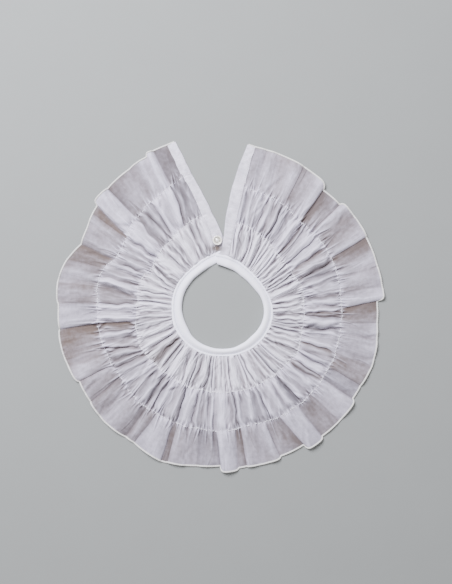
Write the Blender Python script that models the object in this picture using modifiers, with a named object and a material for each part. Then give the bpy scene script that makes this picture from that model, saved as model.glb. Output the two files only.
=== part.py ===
"""Gathered ruff collar of cotton voile, laid flat: one long strip drawn up on a neck binding and
on two rows of shirring, with a turned placket at each short end and a narrow rolled hem. The right
end lies on the left end at the neck, where a thread loop holds it to a pearl button.

Metres, +Z up. The collar rests on z = 0. A bearing is an angle in degrees seen from above, clockwise
from +Y about the middle of the neck. Lengths in the tables are in millimetres.
"""
import math

import bmesh
import bpy

MM = 0.001
NECK_CENTRE = (2.95, -2.0)     # where the middle of the neck lies, so that the origin is mid-collar
SEAM = 0.3                     # gap between neighbouring pieces
WALL = 1.2                     # thickness of the ruffled cloth
STEEPEST = 1.8                 # most that a steep side of a fold is thickened, measured upright
PLACKET_THICKNESS = 1.8
HEM_WIDTH = 2.4
HEM_HEIGHT = 2.2
BINDING_HEIGHT = 5.5
LAP_HEIGHT = 2.6               # height of the binding's left end, under the right end
LAP_TOP_HEIGHT = 3.6           # height of the binding's right end, on top of it
LAP_LIFT = LAP_HEIGHT + 0.4    # how high the right end is raised above the surface
RAISED_BEARINGS = (9.0, 20.0)  # the raised cloth comes down between these bearings
RAISED_RADII = (90.0, 120.0)   # and, outward, between these radii
BINDING_START = -7.1           # bearing of the right end of the binding, on top
BINDING_END = 363.0            # bearing of its left end, which lies below the right end
BINDING_STEP = 5.0
BINDING_DESCENT = (6.0, 20.0)  # the binding's right end comes down between these bearings
BINDING_FILLING = (0.0, 24.0)  # it reaches its full height between these
BINDING_FLATTENING = (332.0, 350.0)    # and is pressed flat again between these
COLUMNS_PER_SIDE = 2           # columns of points on each side of a fold's crest
VALLEY_UNEVENNESS = (0.16, 2.3)    # share of a gather by which a valley moves, and its phase step
HEIGHT_UNEVENNESS = (0.15, 1.7)    # share of a gather's height by which it varies, and its phase step
BUTTON_PLACE = (-6.6, 87.9)    # from the middle of the neck
BUTTON_STEPS = 24
SHANK_RADIUS = 1.8
LOOP_RADIUS = 0.5
LOOP_SPREAD = 0.6              # how much wider the loop is at the placket than at the shank
LOOP_TURNS = (60, 301, 30)     # first turn about the shank, limit of the turns and step, in degrees

# Rings of the collar at every 15 degrees. Columns: bearing, binding's inner edge, binding's outer
# edge, first shirring row, second shirring row.
BEARING, BINDING_INNER, BINDING_OUTER, ROW_1, ROW_2 = range(5)
SECTIONS = (
    (-15, 60.0, 72.0, 112.0, 154.0),
    (0, 54.5, 69.0, 111.5, 156.0),
    (15, 51.0, 65.3, 111.2, 158.3),
    (30, 48.1, 61.5, 106.6, 155.5),
    (45, 47.5, 60.1, 100.8, 151.5),
    (60, 48.1, 60.3, 100.8, 155.4),
    (75, 51.4, 62.7, 106.0, 155.1),
    (90, 53.6, 65.5, 106.0, 154.7),
    (105, 54.6, 66.7, 107.3, 157.3),
    (120, 53.6, 66.8, 112.5, 158.9),
    (135, 52.4, 66.3, 109.9, 159.9),
    (150, 52.8, 65.0, 110.5, 159.9),
    (165, 53.4, 63.7, 109.9, 156.8),
    (180, 53.3, 63.1, 109.9, 159.5),
    (195, 53.4, 64.0, 110.5, 160.9),
    (210, 53.6, 65.3, 112.2, 161.9),
    (225, 53.6, 66.3, 112.7, 163.2),
    (240, 52.1, 67.2, 117.0, 160.4),
    (255, 52.3, 67.0, 116.4, 163.4),
    (270, 52.9, 66.3, 111.2, 163.2),
    (285, 53.0, 66.6, 113.1, 164.5),
    (300, 52.7, 66.4, 106.6, 152.1),
    (315, 52.8, 65.8, 109.9, 161.9),
    (330, 53.7, 66.7, 114.4, 167.6),
    (345, 56.6, 70.5, 123.0, 179.0),
    (360, 62.5, 75.0, 124.0, 180.0),
    (375, 70.0, 82.0, 124.0, 180.0),
)
SECTION_STEP = 15

# The plackets. Columns: radius, bearing of the cut end, bearing of the turned edge.
RADIUS, END, TURN = range(3)
PLACKET_RIGHT = (
    (66.0, -5.6, 7.5),
    (77.0, -0.9, 8.2),
    (94.0, 1.0, 9.0),
    (111.0, 1.6, 9.5),
    (156.0, 4.4, 10.3),
    (214.0, 8.6, 11.5),
    (222.0, 9.1, 11.7),
)
PLACKET_LEFT = (
    (70.0, 362.6, 352.3),
    (94.0, 360.2, 350.6),
    (123.0, 354.0, 347.3),
    (149.0, 350.4, 345.0),
    (179.0, 347.0, 342.7),
    (226.0, 344.1, 341.1),
    (232.0, 343.8, 340.9),
)

# Creases between the binding and the first row. Columns: bearing at the binding, bearing at the
# row, number of gathers up to the next crease, height of those gathers. The placket's turned edge
# stands in for the bearings of the first crease of a tier, and for those of the crease after its last.
INSIDE, OUTSIDE, GATHERS, HEIGHT = range(4)
INNER_CREASES = (
    (7.5, 9.6, 2, 5.0),
    (22.0, 19.4, 2, 5.0),
    (34.0, 28.8, 1, 5.0),
    (36.5, 34.4, 3, 4.0),
    (45.5, 43.2, 3, 5.0),
    (59.5, 54.0, 4, 4.0),
    (72.5, 70.0, 1, 6.0),
    (84.0, 75.5, 4, 5.0),
    (97.6, 94.4, 3, 4.0),
    (110.0, 107.5, 3, 5.0),
    (126.5, 119.3, 2, 5.0),
    (133.0, 130.0, 2, 5.0),
    (143.0, 140.6, 2, 4.0),
    (149.8, 148.0, 2, 6.0),
    (158.9, 156.0, 3, 4.0),
    (169.0, 167.5, 1, 5.0),
    (174.3, 172.0, 3, 4.0),
    (185.5, 184.0, 2, 4.0),
    (193.4, 193.6, 2, 5.0),
    (201.3, 201.3, 1, 4.0),
    (206.5, 203.6, 1, 4.0),
    (216.3, 207.5, 1, 7.0),
    (226.3, 221.0, 1, 4.0),
    (230.8, 225.2, 1, 5.0),
    (235.5, 230.5, 2, 5.0),
    (242.3, 239.0, 1, 6.0),
    (248.9, 247.3, 2, 5.0),
    (257.0, 254.8, 2, 4.0),
    (265.4, 265.0, 2, 6.0),
    (273.5, 274.8, 2, 4.0),
    (281.5, 281.6, 2, 5.0),
    (287.5, 292.0, 1, 4.0),
    (291.8, 298.5, 1, 4.0),
    (296.8, 301.8, 3, 6.0),
    (315.6, 314.7, 2, 4.0),
    (325.6, 325.0, 2, 6.0),
    (336.5, 334.7, 2, 4.0),
    (343.5, 340.5, 1, 3.0),
)
# Creases between the first and the second row, with the same columns.
MIDDLE_CREASES = (
    (9.6, 10.3, 3, 4.0),
    (22.6, 23.0, 2, 6.0),
    (32.0, 31.2, 2, 6.0),
    (38.3, 38.1, 1, 7.0),
    (45.4, 42.2, 2, 5.0),
    (54.9, 52.0, 1, 7.0),
    (62.9, 59.8, 1, 8.0),
    (69.4, 66.0, 1, 4.0),
    (72.4, 71.7, 3, 5.0),
    (83.8, 83.2, 1, 6.0),
    (88.9, 88.0, 2, 5.0),
    (95.7, 94.8, 1, 8.0),
    (103.8, 100.2, 2, 5.0),
    (113.5, 111.5, 2, 5.0),
    (120.8, 119.6, 1, 7.0),
    (125.8, 124.7, 1, 4.0),
    (129.2, 127.0, 2, 7.0),
    (140.8, 139.9, 1, 7.0),
    (147.2, 146.2, 2, 6.0),
    (156.7, 155.8, 3, 7.0),
    (173.0, 172.0, 1, 3.0),
    (175.6, 175.0, 2, 6.0),
    (185.4, 184.6, 3, 5.0),
    (196.4, 194.5, 1, 7.0),
    (205.4, 201.3, 2, 8.0),
    (216.2, 214.4, 1, 4.0),
    (220.4, 218.9, 1, 7.0),
    (227.3, 225.8, 2, 5.0),
    (235.5, 235.7, 1, 5.0),
    (238.8, 240.2, 1, 4.0),
    (241.5, 245.0, 1, 5.0),
    (245.0, 251.8, 1, 6.0),
    (252.1, 253.8, 1, 6.0),
    (256.8, 258.9, 1, 2.0),
    (260.4, 263.4, 2, 8.0),
    (272.3, 272.3, 1, 3.0),
    (277.0, 280.5, 1, 7.0),
    (284.6, 284.5, 2, 4.0),
    (293.0, 293.5, 2, 6.0),
    (302.8, 303.5, 1, 4.0),
    (307.5, 306.5, 1, 8.0),
    (314.2, 316.0, 2, 4.0),
    (322.9, 320.6, 1, 4.0),
    (325.6, 326.0, 2, 7.0),
    (335.4, 336.7, 1, 3.0),
    (340.6, 339.0, 1, 1.5),
)
# Folds between the second row and the hem, one to a row. Columns: bearing at the second row, bearing
# at the hem, height, share of the fold before its crest, hem radius at its start and at its end.
ROW_END, HEM_END, RISE, LEAN, REACH_START, REACH_END = range(6)
OUTER_FOLDS = (
    (10.3, 11.5, 3.0, 0.6, 215.3, 214.8),
    (15.5, 15.8, 5.0, 0.5, 214.8, 214.5),
    (22.4, 20.3, 7.0, 0.75, 214.5, 213.5),
    (31.2, 30.0, 10.0, 0.8, 213.5, 210.5),
    (42.0, 40.7, 3.0, 0.4, 203.0, 205.0),
    (49.5, 48.5, 8.0, 0.25, 209.3, 210.2),
    (56.5, 55.8, 9.0, 0.75, 210.5, 211.5),
    (65.5, 63.8, 5.0, 0.5, 209.5, 210.0),
    (76.0, 74.3, 6.0, 0.5, 210.0, 211.0),
    (83.0, 82.5, 9.0, 0.7, 211.5, 211.0),
    (90.2, 87.4, 4.0, 0.6, 202.8, 203.5),
    (97.3, 95.5, 5.0, 0.5, 203.5, 206.5),
    (102.3, 102.0, 6.0, 0.5, 207.0, 210.0),
    (111.5, 111.5, 6.0, 0.6, 210.0, 207.5),
    (119.0, 119.5, 3.0, 0.5, 207.5, 208.0),
    (124.9, 124.8, 8.0, 0.3, 211.8, 213.0),
    (134.2, 134.2, 3.5, 0.5, 213.0, 212.5),
    (142.2, 142.0, 10.0, 0.5, 215.8, 215.8),
    (152.2, 149.5, 3.0, 0.5, 208.5, 208.5),
    (159.3, 158.4, 7.0, 0.35, 211.0, 211.0),
    (165.0, 165.0, 6.0, 0.7, 211.0, 210.0),
    (171.4, 171.4, 2.0, 0.5, 209.7, 210.5),
    (174.0, 174.0, 11.0, 0.65, 213.0, 214.5),
    (182.8, 181.0, 4.0, 0.5, 206.6, 209.3),
    (191.0, 189.5, 7.0, 0.7, 209.5, 214.5),
    (201.3, 199.8, 1.0, 0.5, 215.0, 216.0),
    (203.0, 201.8, 8.0, 0.35, 216.0, 211.0),
    (212.0, 213.5, 4.0, 0.5, 211.0, 211.0),
    (217.2, 217.0, 7.0, 0.5, 211.5, 214.4),
    (226.0, 226.0, 8.0, 0.75, 214.5, 212.2),
    (236.0, 234.6, 4.0, 0.5, 212.0, 210.6),
    (242.7, 242.7, 7.0, 0.35, 213.6, 216.5),
    (252.0, 251.5, 4.0, 0.4, 217.0, 217.0),
    (263.0, 262.3, 10.0, 0.25, 214.9, 214.9),
    (272.0, 271.5, 5.0, 0.6, 216.7, 218.4),
    (280.0, 279.0, 8.0, 0.5, 218.4, 213.5),
    (288.5, 287.5, 4.0, 0.5, 213.0, 203.0),
    (294.0, 294.3, 7.0, 0.4, 203.0, 206.0),
    (301.0, 301.0, 5.0, 0.5, 206.0, 210.5),
    (306.0, 306.0, 1.5, 0.5, 210.5, 212.0),
    (306.8, 309.2, 10.0, 0.6, 218.8, 217.5),
    (316.4, 316.4, 4.0, 0.5, 217.0, 219.0),
    (327.0, 326.5, 8.0, 0.6, 220.0, 221.0),
    (332.0, 333.4, 7.0, 0.4, 226.0, 225.0),
    (337.0, 336.4, 1.5, 0.5, 225.0, 225.5),
)
HEM_CORNERS = (216.8, 226.6)   # radius of the hem at its right and at its left corner

# Share of a fold's height that each ring of a tier keeps: a gathering row pinches it, and it swells
# between the rows.
INNER_SWELL = (0.5, 1.0, 0.35)
MIDDLE_SWELL = (0.3, 1.0, 0.35)
OUTER_SWELL = (0.25, 0.8, 1.0, 1.0)

# Section of the binding: share of its width, share of its height. Its underside is flat.
BINDING_PROFILE = (
    (0.12, 0.0), (0.88, 0.0), (1.0, 0.3), (0.92, 0.78),
    (0.66, 1.0), (0.34, 1.0), (0.07, 0.75), (0.0, 0.3),
)
# Half section of the button and its thread shank: radius, height above the top of the shank.
BUTTON_PROFILE = (
    (0.0, 1.9), (2.6, 1.9), (3.9, 2.5), (4.9, 3.0), (5.8, 2.8), (6.3, 1.9),
    (5.9, 1.0), (4.4, 0.35), (1.8, 0.0), (1.8, -1.3), (0.0, -1.3),
)
HOLE_RADIUS = 0.75
HOLE_SPACING = 3.0
HOLE_DEPTH = 0.9
HOLE_DIRECTION = (0.8, 0.6)    # direction from one hole to the other, seen from above
CUTTER_LENGTH = 4.0

# Colour, roughness and metallic value of each material.
MATERIALS = {
    "voile": ((0.58, 0.56, 0.59), 0.85, 0.0),
    "binding": ((0.78, 0.77, 0.83), 0.75, 0.0),
    "thread": ((0.74, 0.73, 0.70), 0.7, 0.0),
    "pearl": ((0.74, 0.71, 0.62), 0.22, 0.0),
}


def mix(start, end, share):
    """Value that lies a share of the way from start to end."""
    return start + (end - start) * share


def ease(low, high, value):
    """Smooth step from 0 at low to 1 at high."""
    share = min(max((value - low) / (high - low), 0.0), 1.0)
    return share * share * (3.0 - 2.0 * share)


def ring(column, bearing):
    """Radius of a ring at a bearing, on a smooth curve through the sections."""
    place = (bearing - SECTIONS[0][BEARING]) / SECTION_STEP
    first = min(max(int(place), 1), len(SECTIONS) - 3)
    share = place - first
    before, start, end, after = (SECTIONS[first + step][column] for step in (-1, 0, 1, 2))
    slope_in = (end - before) / 2.0
    slope_out = (after - start) / 2.0
    cube = 2.0 * (start - end) + slope_in + slope_out
    square = 3.0 * (end - start) - 2.0 * slope_in - slope_out
    return ((cube * share + square) * share + slope_in) * share + start


def placket_bearing(placket, column, radius):
    """Bearing of a placket's cut end or turned edge at a radius."""
    for near, far in zip(placket, placket[1:]):
        if radius <= far[RADIUS]:
            break
    share = (radius - near[RADIUS]) / (far[RADIUS] - near[RADIUS])
    return mix(near[column], far[column], max(share, 0.0))


def lap_lift(bearing, radius):
    """Height by which the right end is raised where it lies on the left end."""
    near_end = 1.0 - ease(*RAISED_BEARINGS, bearing)
    near_neck = 1.0 - ease(*RAISED_RADII, radius)
    return LAP_LIFT * near_end * near_neck


def point(bearing, radius, height):
    """Position in metres of a point given by its bearing, radius and height."""
    angle = math.radians(bearing)
    x = NECK_CENTRE[0] + radius * math.sin(angle)
    y = NECK_CENTRE[1] + radius * math.cos(angle)
    return (x * MM, y * MM, height * MM)


def loft(name, sections, material):
    """Closed solid through sections that all have the same even number of points. Each section
    runs out along the underside and back along the top, so that its ends close with a strip."""
    mesh = bpy.data.meshes.new(name)
    build = bmesh.new()
    rows = [[build.verts.new(place) for place in section] for section in sections]
    count = len(rows[0])
    for near, far in zip(rows, rows[1:]):
        for corner in range(count):
            after = (corner + 1) % count
            build.faces.new((near[corner], near[after], far[after], far[corner]))
    for row in (rows[0], rows[-1]):
        for corner in range(count // 2 - 1):
            build.faces.new((row[corner], row[corner + 1], row[-2 - corner], row[-1 - corner]))
    bmesh.ops.recalc_face_normals(build, faces=build.faces)
    build.to_mesh(mesh)
    build.free()
    return add_object(name, mesh, material)


def add_object(name, mesh, material):
    """Object of the collar with its mesh and material."""
    piece = bpy.data.objects.new(name, mesh)
    collar.objects.link(piece)
    mesh.materials.append(material)
    return piece


def uneven(measure, index):
    """Irregular amount that belongs to the gather with this index."""
    most, phase_step = measure
    return most * math.sin(phase_step * index)


def gather_lines(creases, inner_ring, outer_ring, shares):
    """Lines of the valleys of a tier, as bearings at each ring, with the height after each one."""
    lines = [[mix(row[INSIDE], row[OUTSIDE], share) for share in shares] for row in creases]
    lines[0] = placket_line(PLACKET_RIGHT, inner_ring, outer_ring, shares, SEAM)
    lines.append(placket_line(PLACKET_LEFT, inner_ring, outer_ring, shares, -SEAM))
    valleys = []
    for row, start, end in zip(creases, lines, lines[1:]):
        count = row[GATHERS]
        for part in range(count):
            moved = uneven(VALLEY_UNEVENNESS, len(valleys)) if part else 0.0
            line = [mix(low, high, (part + moved) / count) for low, high in zip(start, end)]
            height = row[HEIGHT] * (1.0 + uneven(HEIGHT_UNEVENNESS, len(valleys)))
            valleys.append((line, height))
    valleys.append((lines[-1], 0.0))
    return valleys


def turned_edge(placket, inner_ring, outer_ring, shares):
    """Points (bearing, radius) of a placket's turned edge at each ring of a tier."""
    line = []
    for share in shares:
        bearing = placket[2][TURN]
        for _ in range(3):
            radius = mix(ring(inner_ring, bearing), ring(outer_ring, bearing), share)
            bearing = placket_bearing(placket, TURN, radius)
        line.append((bearing, radius))
    return line


def placket_line(placket, inner_ring, outer_ring, shares, gap):
    """Bearings, a gap away from a placket's turned edge, at each ring of a tier."""
    edge = turned_edge(placket, inner_ring, outer_ring, shares)
    return [bearing + math.degrees(gap / radius) for bearing, radius in edge]


def arch(lean):
    """Steps over one fold up to the next valley: share of its width, share of its height. The crest
    lies at the share of the width that is given as its lean."""
    steps = []
    for step in range(2 * COLUMNS_PER_SIDE):
        climb = step / COLUMNS_PER_SIDE
        across = lean * climb if climb <= 1.0 else mix(lean, 1.0, climb - 1.0)
        steps.append((across, math.sin(math.pi / 2.0 * min(climb, 2.0 - climb))))
    return steps


def fold_columns(valleys):
    """Columns of points over each gather: bearings at each ring, height."""
    columns = []
    for (start, height), (end, _) in zip(valleys, valleys[1:]):
        for across, rise in arch(0.5):
            columns.append(([mix(low, high, across) for low, high in zip(start, end)], rise * height))
    columns.append((valleys[-1][0], 0.0))
    return columns


def thick_sections(grid):
    """Sections of a cloth wall from its underside, given as columns of (bearing, radius, height).
    The top lies higher over steep sides, so that the wall keeps its thickness across them."""
    sections = []
    last = len(grid) - 1
    for index, column in enumerate(grid):
        before, after = grid[max(index - 1, 0)], grid[min(index + 1, last)]
        top = []
        for place, left, right in zip(column, before, after):
            run = math.radians(right[0] - left[0]) * place[1]
            slope = (right[2] - left[2]) / run
            upright = WALL * min(math.hypot(1.0, slope), STEEPEST)
            top.append((place[0], place[1], place[2] + upright))
        sections.append([point(*place) for place in column + top[::-1]])
    return sections


def gathered_tier(name, creases, rings, swell, material):
    """Tier of cloth between two gathered rings: (ring, gap) inside and outside."""
    (inner_ring, inner_gap), (outer_ring, outer_gap) = rings
    shares = [step / (len(swell) - 1) for step in range(len(swell))]
    grid = []
    for bearings, height in fold_columns(gather_lines(creases, inner_ring, outer_ring, shares)):
        column = []
        for bearing, share, keep in zip(bearings, shares, swell):
            inner = ring(inner_ring, bearing) + inner_gap
            outer = ring(outer_ring, bearing) - outer_gap
            radius = mix(inner, outer, share)
            column.append((bearing, radius, height * keep + lap_lift(bearing, radius)))
        grid.append(column)
    return loft(name, thick_sections(grid), material)


def strip_end(placket, gap, reach):
    """Bearings, a gap away from a placket's turned edge, at the second row and at the hem."""
    at_row, radius = turned_edge(placket, ROW_2, ROW_2, (0.0,))[0]
    at_hem = placket_bearing(placket, TURN, reach)
    return at_row + math.degrees(gap / radius), at_hem + math.degrees(gap / reach)


def hem_columns():
    """Columns of the outer tier: bearing at the second row and at the hem, height, hem radius."""
    starts = [(row[ROW_END], row[HEM_END]) for row in OUTER_FOLDS]
    starts[0] = strip_end(PLACKET_RIGHT, SEAM, OUTER_FOLDS[0][REACH_START])
    starts.append(strip_end(PLACKET_LEFT, -SEAM, OUTER_FOLDS[-1][REACH_END]))
    columns = []
    valley_reach = OUTER_FOLDS[0][REACH_START]
    for index, row in enumerate(OUTER_FOLDS):
        following = OUTER_FOLDS[min(index + 1, len(OUTER_FOLDS) - 1)]
        next_reach = min(row[REACH_END], following[REACH_START])
        for across, rise in arch(row[LEAN]):
            if across <= row[LEAN]:
                drop = row[REACH_START] - valley_reach
            else:
                drop = row[REACH_END] - next_reach
            reach = mix(row[REACH_START], row[REACH_END], across) - (1.0 - rise) * drop
            at_row, at_hem = (mix(*ends, across) for ends in zip(starts[index], starts[index + 1]))
            columns.append((at_row, at_hem, rise * row[RISE], reach))
        valley_reach = next_reach
    columns.append((*starts[-1], 0.0, OUTER_FOLDS[-1][REACH_END]))
    return columns


def outer_tier(name, columns, material):
    """Tier of cloth that hangs free from the second row and ends at the rolled hem."""
    shares = [step / (len(OUTER_SWELL) - 1) for step in range(len(OUTER_SWELL))]
    grid = []
    for at_row, at_hem, height, reach in columns:
        outer = reach - HEM_WIDTH - SEAM
        column = []
        for share, keep in zip(shares, OUTER_SWELL):
            bearing = mix(at_row, at_hem, share)
            inner = ring(ROW_2, bearing) + SEAM / 2.0
            column.append((bearing, mix(inner, outer, share), height * keep))
        grid.append(column)
    return loft(name, thick_sections(grid), material)


def rolled_hem(name, columns, material):
    """Narrow raised edge that follows every wave of the outer tier, and closes the plackets' ends."""
    right, left = HEM_CORNERS
    path = [(placket_bearing(PLACKET_RIGHT, END, right), 0.0, right)]
    path += [(at_hem, height, reach) for _, at_hem, height, reach in columns]
    path.append((placket_bearing(PLACKET_LEFT, END, left), 0.0, left))
    sections = []
    for bearing, height, reach in path:
        inner = reach - HEM_WIDTH
        top = height + HEM_HEIGHT
        corners = ((inner, height), (reach, height), (reach, top), (inner, top))
        sections.append([point(bearing, radius, level) for radius, level in corners])
    return loft(name, sections, material)


def placket(name, table, hem_radius, turn_radius, material):
    """Flat turned end of the strip, from the binding out to the hem. It has a section at each ring
    of the tiers, so that its turned edge runs along theirs."""
    turns = turned_edge(table, BINDING_OUTER, ROW_1, (0.0, 0.5, 1.0))
    turns += turned_edge(table, ROW_1, ROW_2, (0.5, 1.0))
    hem_turn = (placket_bearing(table, TURN, turn_radius), turn_radius)
    row_turn = turns[-1]
    for share in (1.0 / 3.0, 2.0 / 3.0, 1.0):
        turns.append(tuple(mix(near, far, share) for near, far in zip(row_turn, hem_turn)))
    sections = []
    for index, (bearing, radius) in enumerate(turns):
        reach = radius
        if index == 0:
            radius += 2.0 * SEAM
            reach = ring(BINDING_OUTER, table[0][END]) + 2.0 * SEAM
        elif index == len(turns) - 1:
            radius -= HEM_WIDTH + SEAM
            reach = hem_radius - HEM_WIDTH - SEAM
        end = placket_bearing(table, END, reach)
        corners = [(end, reach, lap_lift(end, reach)), (bearing, radius, lap_lift(bearing, radius))]
        top = [(angle, out, height + PLACKET_THICKNESS) for angle, out, height in corners]
        sections.append([point(*place) for place in corners + top[::-1]])
    return loft(name, sections, material)


def neck_binding(name, material):
    """Folded bias strip round the neck. Its right end lies on its flattened left end."""
    count = round((BINDING_END - BINDING_START) / BINDING_STEP)
    sections = []
    for step in range(count + 1):
        bearing = mix(BINDING_START, BINDING_END, step / count)
        inner = ring(BINDING_INNER, bearing)
        outer = ring(BINDING_OUTER, bearing)
        base = LAP_LIFT * (1.0 - ease(*BINDING_DESCENT, bearing))
        raised = mix(LAP_TOP_HEIGHT, BINDING_HEIGHT, ease(*BINDING_FILLING, bearing))
        height = mix(raised, LAP_HEIGHT, ease(*BINDING_FLATTENING, bearing))
        sections.append([point(bearing, mix(inner, outer, across), base + height * up)
                         for across, up in BINDING_PROFILE])
    return loft(name, sections, material)


def button(name, material):
    """Dished pearl button on a thread shank, standing on the left placket."""
    base = PLACKET_THICKNESS + SEAM - BUTTON_PROFILE[-1][1]
    x, y = (centre + place for centre, place in zip(NECK_CENTRE, BUTTON_PLACE))
    mesh = bpy.data.meshes.new(name)
    places = [(radius * MM, 0.0, height * MM) for radius, height in BUTTON_PROFILE]
    mesh.from_pydata(places, [(index, index + 1) for index in range(len(places) - 1)], [])
    piece = add_object(name, mesh, material)
    piece.location = (x * MM, y * MM, base * MM)
    turn = piece.modifiers.new("turn", "SCREW")
    turn.angle = 2.0 * math.pi
    turn.steps = BUTTON_STEPS
    turn.render_steps = BUTTON_STEPS
    turn.use_merge_vertices = True
    turn.merge_threshold = 0.00001
    for side in (-1, 1):
        cut_hole(piece, side)
    return piece


def cut_hole(piece, side):
    """Blind thread hole in the button's dish."""
    bpy.ops.mesh.primitive_cylinder_add(vertices=10, radius=HOLE_RADIUS * MM, depth=CUTTER_LENGTH * MM)
    cutter = bpy.context.object
    cutter.name = "button_hole_cutter"
    for group in list(cutter.users_collection):
        group.objects.unlink(cutter)
    cutters.objects.link(cutter)
    cutter.hide_render = True
    cutter.display_type = "WIRE"
    x, y, z = piece.location
    shift_x, shift_y = (side * HOLE_SPACING / 2.0 * MM * share for share in HOLE_DIRECTION)
    level = BUTTON_PROFILE[0][1] - HOLE_DEPTH + CUTTER_LENGTH / 2.0
    cutter.location = (x + shift_x, y + shift_y, z + level * MM)
    cut = piece.modifiers.new("hole", "BOOLEAN")
    cut.operation = "DIFFERENCE"
    cut.object = cutter


def loop_anchor(y):
    """Point beside the right placket's cut end where the thread loop leaves it."""
    radius = y - NECK_CENTRE[1]
    angle = math.radians(placket_bearing(PLACKET_RIGHT, END, radius))
    return NECK_CENTRE[0] + radius * math.sin(angle) - 2.0 * SEAM, y


def button_loop(name, material):
    """Thread loop from the right placket's edge round the shank, under the button."""
    x, y = (centre + place for centre, place in zip(NECK_CENTRE, BUTTON_PLACE))
    height = PLACKET_THICKNESS + SEAM + LOOP_RADIUS
    hold = SHANK_RADIUS + SEAM + LOOP_RADIUS
    places = [loop_anchor(y + hold + LOOP_SPREAD)]
    for turn in range(*LOOP_TURNS):
        angle = math.radians(turn)
        places.append((x + hold * math.cos(angle), y + hold * math.sin(angle)))
    places.append(loop_anchor(y - hold - LOOP_SPREAD))
    curve = bpy.data.curves.new(name, "CURVE")
    curve.dimensions = "3D"
    curve.bevel_depth = LOOP_RADIUS * MM
    curve.bevel_resolution = 1
    curve.use_fill_caps = True
    line = curve.splines.new("POLY")
    line.points.add(len(places) - 1)
    for spot, place in zip(line.points, places):
        spot.co = (place[0] * MM, place[1] * MM, height * MM, 1.0)
    piece = bpy.data.objects.new(name, curve)
    collar.objects.link(piece)
    curve.materials.append(material)
    return piece


def make_material(name):
    """Plain surface with the colour, roughness and metallic value of its row."""
    colour, roughness, metallic = MATERIALS[name]
    material = bpy.data.materials.new(name)
    material.use_nodes = True
    surface = material.node_tree.nodes["Principled BSDF"]
    surface.inputs["Base Color"].default_value = (*colour, 1.0)
    surface.inputs["Roughness"].default_value = roughness
    surface.inputs["Metallic"].default_value = metallic
    return material


def make_collection(name):
    """Collection of the scene."""
    group = bpy.data.collections.new(name)
    bpy.context.scene.collection.children.link(group)
    return group


for leftover in list(bpy.data.objects):
    bpy.data.objects.remove(leftover)
collar = make_collection("ruff_collar")
cutters = make_collection("cutters")

gathered_tier("ruffle_inner_tier", INNER_CREASES, ((BINDING_OUTER, SEAM), (ROW_1, SEAM / 2.0)),
              INNER_SWELL, make_material("voile"))
gathered_tier("ruffle_middle_tier", MIDDLE_CREASES, ((ROW_1, SEAM / 2.0), (ROW_2, SEAM / 2.0)),
              MIDDLE_SWELL, make_material("voile"))
waves = hem_columns()
outer_tier("ruffle_outer_tier", waves, make_material("voile"))
rolled_hem("rolled_hem", waves, make_material("thread"))
placket("placket_right", PLACKET_RIGHT, HEM_CORNERS[0], OUTER_FOLDS[0][REACH_START],
        make_material("voile"))
placket("placket_left", PLACKET_LEFT, HEM_CORNERS[1], OUTER_FOLDS[-1][REACH_END],
        make_material("voile"))
neck_binding("neck_binding", make_material("binding"))
button("button", make_material("pearl"))
button_loop("button_loop", make_material("thread"))
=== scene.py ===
"""Ruff collar of semi-sheer cotton voile, laid flat: the cloth, its sewing and its button, dressed
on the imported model.

Tables and sizes are in millimetres unless a name says otherwise, and objects are in metres. A
bearing is an angle in degrees seen from above, clockwise from +Y about the middle of the neck.
"""

import math

import bpy
import numpy as np
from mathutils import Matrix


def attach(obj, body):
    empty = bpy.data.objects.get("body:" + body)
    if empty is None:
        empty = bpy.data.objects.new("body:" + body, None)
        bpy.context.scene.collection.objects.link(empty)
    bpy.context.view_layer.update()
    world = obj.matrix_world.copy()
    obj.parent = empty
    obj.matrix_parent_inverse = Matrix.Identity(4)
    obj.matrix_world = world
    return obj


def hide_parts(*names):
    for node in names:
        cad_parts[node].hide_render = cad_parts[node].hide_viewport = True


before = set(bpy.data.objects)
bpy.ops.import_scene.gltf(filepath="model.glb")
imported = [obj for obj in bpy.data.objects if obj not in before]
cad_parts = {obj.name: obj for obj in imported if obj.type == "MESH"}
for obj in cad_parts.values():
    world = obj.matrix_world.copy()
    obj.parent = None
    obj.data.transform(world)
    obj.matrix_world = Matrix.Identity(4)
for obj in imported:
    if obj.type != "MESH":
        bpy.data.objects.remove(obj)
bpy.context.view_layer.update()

MM = 0.001
NECK_CENTRE = np.array((2.95, -2.0))
CLOTH_BASE = 0.5               # height of the cloth's lowest lines above the surface
LOWEST_CLOTH = 0.25            # no cloth goes below this height
LOWEST_THREAD = 0.2            # and no stitch below this one
PLACKET_THICKNESS = 1.8
HEM_WIDTH = 2.4
HEM_HEIGHT = 2.0
BINDING_HEIGHT = 5.5           # height of the binding's roll
LAP_HEIGHT = 2.6               # and of its left end, which the right end lies on
LAP_TOP_HEIGHT = 3.6           # and of that right end
LAP_LIFT = LAP_HEIGHT + 0.4    # how far the right end is raised
RAISED_BEARINGS = (9.0, 20.0)  # where the cloth of the raised end comes down, round the neck
RAISED_RADII = (90.0, 120.0)   # and outwards
BINDING_START = -7.1
BINDING_END = 363.0
BINDING_DESCENT = (6.0, 20.0)  # bearings over which the binding's raised end comes down
BINDING_FILLING = (0.0, 24.0)  # over which it grows to its full height
BINDING_FLATTENING = (332.0, 350.0)   # and over which its other end goes flat
HEM_CORNERS = (216.8, 226.6)   # radii of the plackets' cut corners, right and left

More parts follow.
